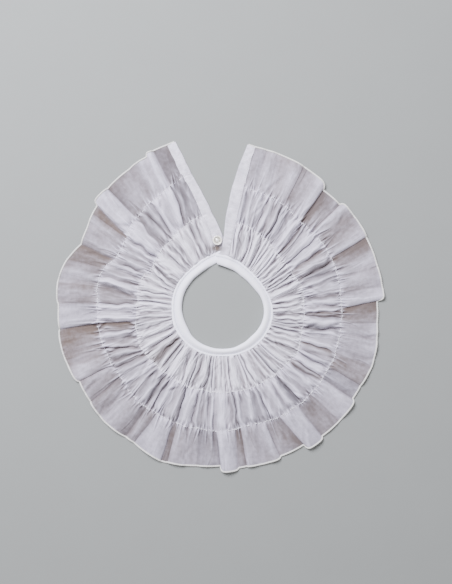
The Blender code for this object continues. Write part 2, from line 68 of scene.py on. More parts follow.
# How the cloth is modelled.
BANDS = 42                     # rings of points across a tier
COLUMNS = 2250                 # columns of points round it
VALLEY_SHARE = 0.8             # height of a valley without depth, as a share of its folds'
ARCH_POWER = 0.7               # how steep the sides of a deep fold are
SOFT_POWER = 1.9               # and those of a shallow one
LONG_SIDE = 5.0                # how much flatter a fold's longer side starts
ROUNDNESS = 0.68               # how far deep folds close over their valleys; they would meet at 1
OUTER_ROUNDNESS = 0.3
OUTER_KEEP = 0.52              # height of the free tier's folds as a share of the table's
OVER_KEEP = 0.3                # how far they lie over each other as a share of the table's
WANDERING_ROOM = 4.5           # degrees of a wide fold over which its creases may wander
# Puckers beside a row, and beside the binding. Columns: pitch, height, shortest and longest run.
PUCKERS = ((6.5, 3.2, 4.0, 20.0), (3.3, 1.8, 2.0, 6.0))
NECK_PUCKERS = ((5.0, 2.0, 2.5, 14.0), (2.6, 1.2, 1.5, 5.0))
# Crumples. Columns: cells round a tier, cells across it, how far they wander, height.
CRUMPLES = ((130, 2, 0.9, 0.5), (240, 3, 0.8, 0.42), (480, 4, 0.7, 0.24))
# How crumpled each tier is.
ROUGHNESS = (("inner", 0.8), ("middle", 0.62), ("free", 0.42))
# Single creases. Columns: tier, number, depth, shortest and longest, steepest slant, width.
CREASES = (
    ("inner", 110, 0.8, (9.0, 30.0), 0.25, 1.0),
    ("inner", 70, 1.2, (8.0, 28.0), 0.8, 2.0),
    ("middle", 110, 0.55, (9.0, 34.0), 0.25, 1.0),
    ("middle", 70, 1.4, (8.0, 34.0), 0.8, 2.6),
    ("free", 40, 0.6, (9.0, 34.0), 0.25, 1.0),
    ("free", 50, 0.9, (14.0, 44.0), 0.5, 3.0),
)
# Patches of tone. Columns: cells round a tier, cells across it, size.
TONE_PATCHES = ((70, 3, 0.10), (150, 3, 0.10), (330, 4, 0.10))
# Pointed creases at the gathered edges: tier, edge band, number, shortest and longest, depth.
WEDGES = (
    ("inner", 0, 60, (4.0, 18.0), 2.0),
    ("inner", -1, 90, (4.0, 22.0), 2.5),
    ("middle", 0, 90, (4.0, 20.0), 2.2),
    ("middle", -1, 90, (4.0, 22.0), 2.2),
    ("free", 0, 110, (4.0, 26.0), 2.0),
)
# How the rows waver. Columns: waves round the neck, size, phase.
ROW_WAVER = ((17, 0.5, 1.3), (31, 0.4, 2.1), (53, 0.3, 0.7))
TUCK = 1.5                     # how far cloth goes on under a piece that covers its edge
MIDDLE_BEARING = 180.0         # where a gathered tier's width is taken
FREE_RADII = (160.0, 213.0)    # rough radii of the second row and the hem, over the free tier
RIGHT_TURN_RADII = np.array((156.0, 214.0))     # at its right end
LEFT_TURN_RADII = np.array((180.0, 225.0))      # and at its left one
ROW_BEARINGS = np.linspace(5.0, 356.0, 7021)    # where a row's height is worked out
ROW_SETTLING = 5.0             # how far from a row its height still tells
PUCKER_RADII = (65.0, 110.0, 159.0)   # rough radii of the neck seam and the two rows
PUCKER_WARPS = (23, 41, 67)    # how often round the tiers their pitch grows and shrinks
PUCKER_GROUP = 12.0            # puckers from one change of their slant to the next
GROOVE_REACH = 3.5             # how far from a row the cloth is gathered tightly
FOLD_RISE = 11.0               # distance from a ring within which a fold comes to its height
NEAR = 9.0                     # degrees to each side within which a single crease is worked out

NECK_INSET = 1.4               # how far the inner tier goes in under the binding
NECK_SLOPE = 1.6               # how steeply it may rise outside the binding
BORDER_SHARE = 0.42            # height below which it goes in, as a share of the binding's
INNER_KEEPS = (0.5, 0.4)       # share of their height that folds keep at a tier's two edges
MIDDLE_KEEPS = (0.35, 0.4)
FREE_KEEP = 0.3                # and at the free tier's inner one
HEM_WRAP = 1.3                 # pitch of the thread that wraps the hem
HEM_SCALLOP = 3.0              # pitch of the stitches that draw the hem in
HEM_STEP = 0.36                # distance between the rings of its roll
HEM_SIDES = 14                 # points round each
HEM_UNEVENNESS = 7.0           # pitch at which its girth varies
HEM_TRIM = 14                  # columns at the free tier's two ends that it passes over
# Its girth. Columns: full size, plain share of it, share by which it varies, share by which it swells
# between the stitches.
HEM_GIRTH = ((HEM_WIDTH, 0.78, 0.05, 0.16), (HEM_HEIGHT, 0.72, 0.06, 0.1))
HEM_INSET = HEM_WIDTH * 0.6    # how far inside it the plackets end
ROW_STITCH_PITCH = 3.3
ROW_STITCH_LENGTHS = (1.4, 3.2)
ROW_STITCH_RADIUS = 0.4
ROW_STITCH_RISE = 0.25         # height of the rows' thread above their cloth
ROW_STITCHED = (10.2, 346.0)   # bearings between which the rows are stitched
ROW_STITCHES_SHOWN = 0.8       # share of their stitches that shows between the gathers
SEAM_STITCH_PITCH = 2.6
SEAM_STITCH_LENGTHS = (1.7, 2.0)
SEAM_STITCH_RADIUS = 0.2
SEAM_STITCH_RISE = 0.08
PLACKET_STITCHES = 1.9         # distance of a placket's stitches from its turned edge
GROOVE_SHARE = 0.775           # place of the binding's stitches across its width
WAVE_PERIOD = 0.314            # a wave texture's period at scale 1

# Crumples of a placket. Columns: cells along it, cells across it, height.
PLACKET_CRUMPLES = ((34, 3, 0.22), (110, 5, 0.12))
# Radii of the small creases that the rows' ends leave across a placket.
PLACKET_CREASES = {"placket_right_cloth": (82.0, 89.5), "placket_left_cloth": (123.5, 178.0)}

# Section of the binding: share of its width, share of its height.
BINDING_SECTION = (
    (0.6, 0.05), (0.12, 0.0), (0.03, 0.12), (0.0, 0.3), (0.02, 0.53), (0.09, 0.77), (0.2, 0.95),
    (0.32, 1.0), (0.44, 0.93), (0.56, 0.78), (0.68, 0.58), (0.76, 0.46), (0.8, 0.52), (0.88, 0.6),
    (0.965, 0.57), (1.0, 0.47), (0.99, 0.35), (0.82, 0.28), (0.6, 0.05),
)
# Half section of the button: radius, height above the top of its shank.
BUTTON_SECTION = (
    (0.0, 2.6), (1.2, 2.5), (2.4, 2.05), (3.3, 1.75), (4.1, 2.2), (4.9, 3.0), (5.6, 3.1),
    (6.1, 2.6), (6.3, 1.9), (6.0, 1.0), (4.4, 0.35), (1.8, 0.0), (1.7, -1.5), (0.0, -1.5),
)
BUTTON_CENTRE = NECK_CENTRE + (-6.6, 87.9)
BUTTON_BASE = 3.4              # height of the top of its shank
BUTTON_POLE = 0.03             # radius of its end faces
BUTTON_SIDES = 96
BUTTON_SHADE = ((-9.0, 77.5), (8.5, 4.6))   # where the gathers below it get a painted brownish shade, and how far
DISH_RADIUS = 3.4
HOLE_SPACING = 3.0
HOLE_DIRECTION = (0.8, 0.6)
BUTTON_THREAD = 0.32           # radius of its two threads, which lie side by side
BUTTON_THREAD_RISE = 2.5
# The loop round the shank: the places of its two ends from the button's centre, and its turn.
LOOP_ENDS = (((5.2, 3.6), (3.0, 3.4)), ((3.6, -3.2), (5.2, -3.6)))
LOOP_RADIUS = 2.7
LOOP_TURN = np.radians(np.arange(80, 300, 8))
LOOP_THREAD = 0.42             # radius of its thread
LOOP_TWIST = 1.1               # pitch of its strands
LOOP_STEP = 0.12
LOOP_SIDES = 12
LOOP_HEIGHT = PLACKET_THICKNESS + 0.8

# The voile over more and over fewer layers of itself, tier by tier from the neck; the painted shade
# of its creases, tier by tier; and its darkest tones, warm and grey, which stand both for where it
# lies singly over what is dark beneath and for painted shade.
LIGHT_COLOURS = ((0.925, 0.90, 1.0), (0.78, 0.75, 0.87), (0.72, 0.695, 0.81))
CREASE_SHADE_COLOURS = ((0.53, 0.485, 0.48), (0.75, 0.71, 0.70), (0.82, 0.77, 0.76))
WARM_SHADE = (0.172, 0.133, 0.115)
GREY_SHADE = (0.172, 0.160, 0.183)
TONE_CURVE = 1.4
WEAVE_RELIEF = 0.00003         # depth of the weave, in metres
FLOOR_COLOUR = (0.22, 0.232, 0.22)
CAMERA_TARGET = np.array((0.0075, 0.0188, 0.0))   # in metres, as are the next two
CAMERA_HEIGHT = 1.058
KEY_PLACE = (-0.6, 0.95, 1.3)
KEY_POWER = 102.0
KEY_COLOUR = (0.91, 0.905, 1.0)
FILL_STRENGTH = 0.72
FILL_COLOUR = (1.0, 0.97, 1.0, 1.0)
SEED = 20

# Rings of the collar at every 15 degrees. Columns: bearing, binding's inner edge, binding's outer
# edge, first shirring row, second shirring row.
BEARING, BINDING_INNER, BINDING_OUTER, ROW_1, ROW_2 = range(5)
SECTION_STEP = 15
SECTIONS = np.array((
    (-15, 60.0, 72.0, 112.0, 154.0),
    (0, 54.5, 69.0, 111.5, 156.0),
    (15, 51.0, 65.3, 111.2, 158.3),
    (30, 48.1, 61.5, 106.6, 155.5),
    (45, 47.5, 60.1, 100.8, 151.5),
    (60, 48.1, 60.3, 100.8, 155.4),
    (75, 51.4, 62.7, 106.0, 155.1),
    (90, 53.6, 65.5, 106.0, 154.7),
    (105, 54.6, 66.7, 107.3, 157.3),
    (120, 53.6, 66.8, 112.5, 158.9),
    (135, 52.4, 66.3, 109.9, 159.9),
    (150, 52.8, 65.0, 110.5, 159.9),
    (165, 53.4, 63.7, 109.9, 156.8),
    (180, 53.3, 63.1, 109.9, 159.5),
    (195, 53.4, 64.0, 110.5, 160.9),
    (210, 53.6, 65.3, 112.2, 161.9),
    (225, 53.6, 66.3, 112.7, 163.2),
    (240, 52.1, 67.2, 117.0, 160.4),
    (255, 52.3, 67.0, 116.4, 163.4),
    (270, 52.9, 66.3, 111.2, 163.2),
    (285, 53.0, 66.6, 113.1, 164.5),
    (300, 52.7, 66.4, 106.6, 152.1),
    (315, 52.8, 65.8, 109.9, 161.9),
    (330, 53.7, 66.7, 114.4, 167.6),
    (345, 56.6, 70.5, 123.0, 179.0),
    (360, 62.5, 75.0, 124.0, 180.0),
    (375, 70.0, 82.0, 124.0, 180.0),
))

# The plackets. Columns: radius, bearing of the cut end, bearing of the turned edge.
RADIUS, END, TURN = range(3)
PLACKET_RIGHT = np.array((
    (66.0, -5.6, 7.5),
    (77.0, -0.9, 8.2),
    (94.0, 1.0, 9.0),
    (111.0, 1.6, 9.5),
    (156.0, 4.4, 10.3),
    (214.0, 8.6, 11.5),
    (222.0, 9.1, 11.7),
))
PLACKET_LEFT = np.array((
    (70.0, 362.6, 352.3),
    (94.0, 360.2, 350.6),
    (123.0, 354.0, 347.3),
    (149.0, 350.4, 345.0),
    (179.0, 347.0, 342.7),
    (226.0, 344.1, 341.1),
    (232.0, 343.8, 340.9),
))

# Creases of the inner tier. Columns: bearing at the binding, bearing half way, bearing at the first
# row, gathers up to the next crease, their height, depth of this crease (0 to 9), how far the crests
# that follow lean, in millimetres.
INSIDE, MIDWAY, OUTSIDE, GATHERS, HEIGHT, DEPTH, LEAN = range(7)
INNER_CREASES = (
    (7.5, 8.0, 9.6, 1, 5.0, 9, 0.6),
    (12.0, 9.0, 9.9, 1, 5.5, 8, 0.0),
    (14.0, 13.5, 12.8, 1, 6.0, 5, 0.6),
    (22.0, 23.0, 19.4, 1, 5.0, 9, 0.5),
    (25.5, 24.5, 21.5, 1, 5.5, 6, 0.5),
    (33.0, 31.8, 28.8, 1, 3.5, 9, 0.0),
    (35.6, 35.2, 34.4, 1, 4.0, 9, 0.0),
    (37.3, 37.6, 38.0, 2, 4.5, 8, 0.4),
    (46.5, 45.2, 43.2, 1, 5.0, 9, 0.5),
    (50.0, 49.0, 46.5, 2, 4.5, 5, 0.5),
    (59.0, 58.2, 55.5, 1, 4.0, 9, 0.3),
    (62.0, 61.0, 60.2, 1, 4.0, 8, 0.3),
    (65.5, 63.8, 61.6, 1, 4.0, 6, 0.3),
    (68.0, 66.4, 63.0, 1, 4.5, 9, 0.0),
    (72.5, 71.0, 68.6, 1, 6.5, 6, 0.8),
    (82.6, 79.0, 75.5, 1, 4.5, 9, 0.4),
    (85.0, 84.4, 82.8, 1, 4.0, 7, 0.3),
    (90.8, 89.6, 86.8, 1, 4.5, 8, 0.3),
    (97.6, 96.2, 94.4, 1, 4.0, 9, 0.3),
    (100.8, 99.8, 97.8, 1, 4.0, 7, 0.3),
    (105.0, 103.6, 100.8, 1, 4.0, 8, 0.3),
    (107.6, 106.4, 104.4, 1, 4.5, 5, 0.3),
    (110.4, 108.8, 107.4, 1, 5.0, 9, 0.3),
    (115.0, 113.2, 110.8, 2, 5.0, 7, 0.4),
    (124.6, 122.0, 119.3, 1, 4.5, 8, 0.3),
    (128.0, 127.4, 126.2, 1, 4.5, 6, 0.2),
    (132.8, 133.6, 130.5, 1, 5.0, 9, 0.0),
    (136.5, 136.0, 134.0, 1, 5.0, 5, 0.0),
    (143.1, 142.2, 141.2, 1, 4.5, 9, 0.2),
    (146.4, 145.2, 143.8, 1, 5.0, 7, 0.2),
    (150.0, 149.0, 148.0, 1, 6.5, 8, 0.4),
    (159.2, 157.8, 156.2, 1, 3.5, 8, 0.0),
    (162.8, 161.2, 159.2, 1, 4.0, 9, 0.0),
    (165.0, 164.4, 163.2, 1, 5.5, 7, 0.2),
    (174.3, 174.4, 173.8, 1, 4.0, 9, 0.0),
    (177.4, 176.8, 176.0, 2, 4.0, 6, 0.0),
    (185.0, 184.6, 184.0, 1, 4.0, 5, 0.0),
    (189.4, 188.4, 187.2, 1, 4.0, 8, 0.0),
    (193.4, 191.9, 193.8, 1, 5.5, 9, -0.3),
    (200.8, 200.1, 201.6, 1, 3.5, 9, 0.0),
    (206.3, 204.2, 203.6, 1, 4.5, 9, 0.0),
    (216.5, 212.0, 208.8, 1, 7.0, 9, 0.4),
    (226.2, 223.6, 221.0, 1, 4.0, 8, 0.2),
    (230.4, 227.8, 225.4, 1, 4.0, 9, 0.2),
    (235.6, 233.4, 230.6, 1, 5.5, 9, 0.2),
    (242.2, 241.2, 239.0, 1, 6.5, 8, 0.3),
    (248.9, 248.0, 247.3, 1, 6.0, 9, 0.3),
    (257.0, 255.8, 254.8, 1, 4.0, 8, 0.2),
    (259.6, 261.8, 262.2, 1, 4.0, 7, 0.0),
    (265.4, 265.6, 265.6, 1, 6.0, 8, 0.0),
    (273.6, 274.8, 274.4, 1, 4.5, 9, 0.0),
    (278.6, 277.6, 276.8, 1, 4.5, 6, 0.0),
    (283.0, 282.4, 281.4, 1, 5.0, 8, 0.0),
    (288.8, 289.8, 292.0, 1, 4.0, 7, -0.3),
    (291.6, 294.6, 298.4, 1, 4.0, 9, -0.3),
    (296.8, 299.0, 301.8, 1, 5.5, 9, -0.3),
    (303.0, 303.2, 304.6, 1, 6.5, 5, 0.0),
    (315.6, 315.4, 314.7, 1, 4.5, 9, 0.0),
    (321.8, 321.4, 320.3, 1, 4.0, 8, 0.0),
    (325.6, 325.2, 325.0, 1, 6.5, 8, 0.0),
    (335.8, 335.4, 334.6, 1, 4.0, 7, 0.0),
    (340.0, 338.8, 337.4, 1, 5.0, 9, 0.0),
    (346.0, 344.2, 341.6, 1, 3.5, 6, 0.0),
)
# Creases between the first and the second row, with the same columns.
MIDDLE_CREASES = (
    (9.6, 9.9, 10.3, 1, 4.0, 6, 0.3),
    (12.8, 12.4, 12.0, 1, 4.0, 4, 0.3),
    (17.0, 16.4, 15.8, 1, 5.0, 4, 0.5),
    (22.6, 22.6, 22.8, 1, 6.0, 9, 0.5),
    (28.0, 27.4, 26.4, 1, 5.5, 3, 0.6),
    (32.0, 31.8, 31.2, 1, 6.0, 9, 0.0),
    (38.3, 38.2, 38.1, 1, 7.0, 5, 0.8),
    (45.4, 44.8, 42.6, 1, 4.0, 9, 0.0),
    (48.6, 47.4, 45.4, 1, 5.0, 5, 0.6),
    (54.9, 53.8, 52.0, 1, 7.0, 9, 0.6),
    (62.4, 60.4, 60.2, 1, 8.0, 8, 1.2),
    (69.2, 68.4, 66.2, 1, 4.0, 9, 0.0),
    (72.4, 72.0, 71.6, 1, 5.0, 7, 0.4),
    (78.0, 76.0, 74.6, 1, 4.5, 3, 0.4),
    (83.8, 83.4, 83.2, 1, 6.0, 9, 0.3),
    (88.9, 88.5, 88.0, 1, 5.5, 5, 1.0),
    (92.8, 92.4, 90.6, 1, 3.0, 7, 0.0),
    (95.8, 95.3, 94.8, 1, 8.0, 8, 0.5),
    (103.8, 102.0, 100.2, 1, 5.0, 9, 0.0),
    (106.4, 105.4, 104.8, 1, 5.5, 6, 0.3),
    (113.6, 112.0, 111.5, 1, 4.5, 8, 0.0),
    (117.4, 116.8, 116.4, 1, 4.5, 5, 0.0),
    (120.8, 120.2, 119.6, 1, 7.0, 9, 0.3),
    (126.0, 125.4, 124.7, 1, 4.0, 8, 0.0),
    (129.2, 128.2, 127.0, 1, 6.0, 7, 0.3),
    (135.0, 134.6, 133.6, 1, 7.0, 4, 0.8),
    (141.0, 140.4, 139.9, 1, 7.0, 9, -0.3),
    (147.2, 146.6, 146.2, 1, 6.0, 5, 0.3),
    (152.6, 152.2, 151.8, 1, 6.0, 4, 0.5),
    (156.8, 156.4, 155.8, 1, 5.0, 9, 0.0),
    (159.8, 160.0, 161.0, 1, 7.0, 4, 0.3),
    (168.6, 168.6, 168.2, 1, 5.5, 3, 0.6),
    (173.2, 172.6, 172.0, 1, 3.5, 9, 0.0),
    (176.0, 175.7, 175.2, 1, 6.0, 8, 0.3),
    (185.4, 185.0, 184.6, 1, 5.0, 5, 0.3),
    (189.0, 188.0, 187.0, 1, 5.0, 7, 0.3),
    (192.4, 191.6, 190.6, 1, 5.0, 3, 0.6),
    (196.4, 195.4, 194.5, 1, 7.0, 9, 0.0),
    (205.4, 202.6, 201.4, 1, 8.0, 9, -0.5),
    (209.6, 210.0, 209.6, 1, 7.0, 2, 0.5),
    (216.8, 216.0, 214.4, 1, 4.0, 8, 0.0),
    (220.4, 219.4, 218.9, 1, 7.0, 9, 0.3),
    (227.0, 226.2, 225.0, 1, 5.0, 5, 0.3),
    (230.0, 229.4, 229.6, 1, 5.5, 7, 0.3),
    (235.5, 235.4, 235.7, 1, 5.0, 6, 0.0),
    (238.8, 239.8, 240.2, 1, 4.0, 8, 0.0),
    (241.5, 243.0, 245.0, 1, 5.0, 8, -0.4),
    (245.0, 248.4, 251.8, 1, 6.0, 8, -0.5),
    (252.1, 252.8, 253.8, 1, 6.0, 8, 0.6),
    (256.8, 258.2, 258.9, 1, 2.0, 8, 0.0),
    (260.6, 262.6, 263.4, 1, 8.0, 9, -1.2),
    (266.6, 267.2, 267.6, 1, 7.5, 2, 0.3),
    (272.3, 272.4, 272.3, 1, 3.0, 8, 0.0),
    (277.0, 279.4, 280.5, 1, 7.0, 8, -0.5),
    (284.6, 284.6, 284.5, 1, 4.0, 7, 0.0),
    (288.6, 289.0, 289.4, 1, 6.0, 7, 0.5),
    (293.0, 293.2, 293.5, 1, 5.5, 8, 0.0),
    (298.8, 299.2, 298.6, 1, 5.0, 4, 0.0),
    (302.8, 303.2, 303.5, 1, 4.0, 6, 0.0),
    (307.5, 306.8, 306.5, 1, 8.0, 8, 0.3),
    (314.2, 315.4, 316.0, 1, 4.0, 8, 0.0),
    (322.9, 321.8, 320.6, 1, 4.0, 8, 0.0),
    (325.6, 325.8, 326.0, 1, 6.0, 9, -0.3),
    (330.0, 329.4, 330.6, 1, 7.0, 5, 0.3),
    (335.4, 336.6, 336.7, 1, 2.5, 8, 0.0),
    (340.6, 340.0, 339.0, 1, 2.0, 4, 0.0),
)
# Folds between the second row and the hem, one to a line. Columns: bearing of its start at the
# second row and at the hem, height, share of the fold before its crest, hem radius at its start and
# at its end, how far its first and its last edge lie over the neighbouring fold, depth of the crease
# that it starts from (0 to 9).
ROW_START, HEM_START, RISE, CREST, REACH_START, REACH_END, OVER_START, OVER_END, CREASE = range(9)
OUTER_FOLDS = (
    (10.3, 11.5, 2.5, 0.6, 215.3, 214.8, 0.0, 0.0, 9),
    (15.5, 15.8, 4.5, 0.5, 214.8, 214.5, 0.0, 0.0, 5),
    (22.4, 20.3, 7.0, 0.7, 214.5, 213.5, 0.0, 2.0, 5),
    (31.2, 30.0, 10.0, 0.72, 213.5, 210.5, 0.0, 2.0, 5),
    (42.0, 40.7, 3.0, 0.6, 203.0, 205.0, 0.0, 0.0, 7),
    (49.5, 48.5, 8.0, 0.3, 209.3, 210.2, 2.0, 0.0, 8),
    (56.5, 55.8, 8.0, 0.72, 210.5, 210.4, 0.0, 0.6, 5),
    (65.5, 63.8, 5.0, 0.6, 210.0, 210.0, 0.0, 0.0, 5),
    (76.0, 74.3, 6.0, 0.5, 210.0, 211.0, 0.0, 0.0, 3),
    (83.0, 82.5, 8.0, 0.6, 211.5, 211.0, 0.0, 2.2, 5),
    (90.2, 87.4, 4.0, 0.7, 202.8, 203.5, 0.0, 0.0, 7),
    (97.3, 95.5, 5.0, 0.6, 203.5, 206.5, 0.0, 0.0, 3),
    (102.3, 102.0, 6.0, 0.3, 207.0, 210.0, 0.0, 0.0, 4),
    (111.5, 111.5, 6.0, 0.6, 210.0, 207.5, 0.0, 1.0, 3),
    (119.0, 119.5, 2.5, 0.5, 207.5, 208.0, 0.0, 0.0, 9),
    (124.9, 124.8, 8.0, 0.3, 211.8, 213.0, 2.5, 2.0, 9),
    (134.2, 134.2, 3.5, 0.5, 213.0, 212.5, 0.0, 0.0, 8),
    (142.2, 142.0, 10.0, 0.5, 215.8, 215.8, 3.0, 3.5, 9),
    (152.2, 149.5, 3.0, 0.5, 208.5, 208.5, 0.0, 0.0, 9),
    (159.3, 158.4, 7.0, 0.35, 211.0, 211.0, 2.5, 0.0, 9),
    (165.0, 165.0, 6.0, 0.7, 211.0, 210.0, 0.0, 1.5, 3),
    (171.4, 171.4, 2.0, 0.5, 209.7, 210.5, 0.0, 0.0, 9),
    (174.0, 174.0, 11.0, 0.6, 213.0, 214.5, 2.0, 4.0, 9),
    (182.8, 181.0, 4.0, 0.5, 206.6, 209.3, 0.0, 0.0, 9),
    (191.0, 189.5, 7.0, 0.7, 209.5, 214.5, 0.0, 1.5, 4),
    (201.3, 199.8, 1.0, 0.5, 215.0, 216.0, 0.0, 0.0, 9),
    (203.0, 201.8, 8.0, 0.35, 216.0, 211.0, 0.8, 2.0, 9),
    (212.0, 213.5, 4.0, 0.5, 211.0, 211.0, 0.0, 0.0, 8),
    (217.2, 217.0, 7.0, 0.5, 211.5, 214.4, 0.0, 0.0, 7),
    (226.0, 226.0, 8.0, 0.7, 214.5, 212.2, 0.0, 2.5, 2),
    (236.0, 234.6, 4.0, 0.5, 212.0, 210.6, 0.0, 0.0, 9),
    (242.7, 242.7, 7.0, 0.35, 213.6, 216.5, 2.0, 0.0, 8),
    (252.0, 251.5, 4.0, 0.4, 217.0, 217.0, 0.0, 0.0, 3),
    (263.0, 262.3, 8.5, 0.3, 214.9, 214.9, 2.2, 0.0, 7),
    (272.0, 271.5, 5.0, 0.6, 216.7, 218.4, 0.0, 0.0, 7),
    (280.0, 279.0, 8.0, 0.5, 218.4, 213.5, 0.0, 0.0, 3),
    (288.5, 287.5, 4.0, 0.5, 213.0, 203.0, 0.0, 0.0, 6),
    (294.0, 294.3, 7.0, 0.4, 203.0, 206.0, 0.0, 0.0, 6),
    (301.0, 301.0, 5.0, 0.5, 206.0, 210.5, 0.0, 0.0, 3),
    (306.0, 306.0, 1.5, 0.5, 210.5, 212.0, 0.0, 0.0, 9),
    (306.8, 309.2, 10.0, 0.5, 218.8, 217.5, 2.5, 2.5, 9),
    (316.4, 316.4, 4.0, 0.5, 217.0, 219.0, 0.0, 0.0, 9),
    (327.0, 326.5, 8.0, 0.6, 220.0, 221.0, 0.0, 0.0, 6),
    (332.0, 333.4, 7.0, 0.4, 226.0, 225.0, 0.0, 2.0, 4),
    (337.0, 336.4, 1.5, 0.5, 225.0, 225.5, 0.0, 0.0, 9),
)

# Where the plackets' turned edges meet the hem, right and left.
HEM_TURNS = (OUTER_FOLDS[0][REACH_START], OUTER_FOLDS[-1][REACH_END])

# How light the cloth looks from fold to fold, and how warm: partly the layers beneath showing
# through, partly painted shade and painted light. 0 where the folds beneath it show through darkest
# or it lies in painted shade beside an overlapping fold, and 9 where it stands up bright in painted
# light; the warmth goes mostly with the painted shade. Columns: tone at the fold's start, tone at its
# end, warmth. Entries go with the creases and the folds above.
TONE_START, TONE_END, WARMTH = range(3)
MIDDLE_TONES = (
    (4, 5, 1), (6, 7, 2), (6, 7, 2), (5, 6, 5), (6, 3, 5), (4, 5, 2), (8, 8, 1), (2, 6, 4),
    (8, 5, 3), (8, 7, 1), (3, 5, 7), (2, 6, 4), (5, 5, 2), (6, 7, 2), (4, 8, 2), (6, 7, 5),
    (3, 3, 6), (7, 5, 0), (2, 6, 3), (6, 8, 3), (3, 8, 8), (5, 5, 0), (8, 9, 0), (3, 3, 8),
    (7, 8, 1), (6, 6, 2), (2, 8, 1), (5, 7, 1), (7, 6, 1), (4, 6, 1), (5, 7, 1), (6, 6, 1),
    (3, 4, 2), (8, 8, 0), (6, 6, 1), (5, 4, 1), (5, 3, 2), (7, 7, 0), (3, 7, 3), (7, 7, 0),
    (4, 4, 3), (5, 6, 2), (4, 5, 4), (6, 6, 1), (5, 5, 4), (4, 4, 6), (4, 5, 6), (4, 5, 6),
    (5, 4, 5), (4, 0, 9), (9, 9, 0), (9, 8, 0), (4, 3, 6), (4, 9, 4), (4, 4, 4), (6, 6, 5),
    (4, 5, 4), (5, 5, 4), (8, 7, 2), (5, 9, 1), (3, 3, 4), (3, 3, 4), (9, 8, 0), (8, 9, 0),
    (3, 3, 2), (2, 2, 3),
)
OUTER_TONES = (
    (5, 6, 5), (7, 6, 7), (6, 6, 8), (4, 9, 6), (1, 6, 5), (8, 3, 7), (3, 8, 6), (1, 8, 8),
    (7, 6, 5), (7, 8, 3), (0, 4, 9), (6, 7, 4), (7, 6, 4), (5, 3, 8), (4, 4, 1), (7, 7, 3),
    (3, 4, 6), (7, 7, 0), (2, 5, 5), (6, 6, 4), (6, 6, 4), (2, 3, 5), (7, 7, 0), (4, 4, 2),
    (6, 5, 4), (2, 2, 5), (7, 7, 1), (4, 4, 7), (3, 6, 5), (7, 2, 6), (4, 6, 5), (6, 5, 7),
    (4, 1, 9), (7, 7, 0), (5, 4, 7), (7, 3, 6), (2, 1, 9), (4, 6, 4), (6, 4, 6), (2, 2, 9),
    (8, 8, 1), (3, 5, 4), (5, 8, 5), (8, 8, 0), (2, 2, 4),
)
# The inner tier is light all round, apart from these folds, which get painted shade or painted light.
INNER_TONE = 7.5
INNER_SHADED = {
    0: (3, 9, 1), 5: (6, 8, 1), 6: (6, 9, 1), 7: (9, 7, 1), 10: (6, 9, 1), 11: (7, 8, 1),
    12: (6, 6, 2), 13: (5, 6, 2), 14: (9, 9, 0), 15: (8, 5, 0), 16: (6, 6, 1), 17: (6, 5, 1),
    18: (5, 7, 1), 19: (5, 6, 1), 20: (5, 7, 1), 21: (6, 6, 1), 22: (5, 7, 1), 23: (8, 6, 0),
    24: (4, 7, 2), 26: (5, 6, 1), 27: (6, 4, 1), 33: (8, 8, 0), 37: (6, 4, 1), 38: (6, 8, 0),
    39: (5, 6, 1), 40: (4, 8, 1), 41: (7, 9, 0), 42: (5, 6, 1), 43: (6, 4, 6), 44: (3, 8, 6),
    45: (9, 9, 0), 46: (6, 8, 0), 47: (4, 7, 1), 48: (6, 7, 1), 49: (9, 9, 0), 50: (5, 8, 1),
    54: (7, 5, 1), 55: (4, 8, 1), 56: (9, 9, 0), 57: (6, 7, 0), 58: (5, 6, 1), 59: (8, 9, 0),
    61: (4, 4, 1), 62: (8, 9, 0),
}


def mix(start, end, share):
    """Value that lies a share of the way from start to end."""
    return start + (end - start) * share


def ease(low, high, value):
    """Smooth step from 0 at low to 1 at high."""
    share = np.clip((np.asarray(value, float) - low) / (high - low), 0.0, 1.0)
    return share * share * (3.0 - 2.0 * share)


def bell(value):
    """1 at 0, and falling smoothly to 0 on both sides."""
    return np.exp(-(value**2))


def unit(vectors):
    """The vectors with a length of 1."""
    return vectors / np.linalg.norm(vectors, axis=1)[:, None]


def distances(line):
    """Distance along a line from its start to each of its points."""
    return np.concatenate([[0.0], np.cumsum(np.linalg.norm(np.diff(line, axis=0), axis=1))])


def smoothed(line, weights, mode="edge"):
    """The line with each point at the weighted mean of the points round it."""
    kernel = np.array(weights, float) / sum(weights)
    return np.stack([np.convolve(np.pad(values, len(kernel) // 2, mode=mode), kernel, mode="valid")
                     for values in line.T], axis=1)


def turns(sides):
    """Angles of the points round a ring."""
    return np.arange(sides) * 2.0 * math.pi / sides


def resampled(line, step):
    """The line again, with points a step apart, and the distance of each from its start."""
    lengths = distances(line)
    at = np.linspace(0.0, lengths[-1], int(lengths[-1] / step) + 1)
    return np.stack([np.interp(at, lengths, line[:, axis]) for axis in range(3)], axis=1), at


def ring(column, bearing):
    """Radius of a ring at each bearing, on a smooth curve through the sections."""
    place = (np.asarray(bearing, float) - SECTIONS[0, BEARING]) / SECTION_STEP
    first = np.clip(place.astype(int), 1, len(SECTIONS) - 3)
    share = place - first
    before, start, end, after = (SECTIONS[first + step, column] for step in (-1, 0, 1, 2))
    slope_in = (end - before) / 2.0
    slope_out = (after - start) / 2.0
    cube = 2.0 * (start - end) + slope_in + slope_out
    square = 3.0 * (end - start) - 2.0 * slope_in - slope_out
    return ((cube * share + square) * share + slope_in) * share + start


def row(column, bearing):
    """Radius of a ring as sewn. The shirring rows waver a little."""
    radius = ring(column, bearing)
    if column in (ROW_1, ROW_2):
        turn = np.radians(bearing)
        for rate, size, phase in ROW_WAVER:
            radius = radius + size * np.sin(rate * turn + phase * column)
    return radius


def placket_bearing(placket, column, radius):
    """Bearing of a placket's cut end or turned edge at a radius."""
    after = np.clip(np.searchsorted(placket[:, RADIUS], radius), 1, len(placket) - 1)
    near, far = placket[after - 1], placket[after]
    share = (radius - near[..., RADIUS]) / (far[..., RADIUS] - near[..., RADIUS])
    return mix(near[..., column], far[..., column], np.maximum(share, 0.0))


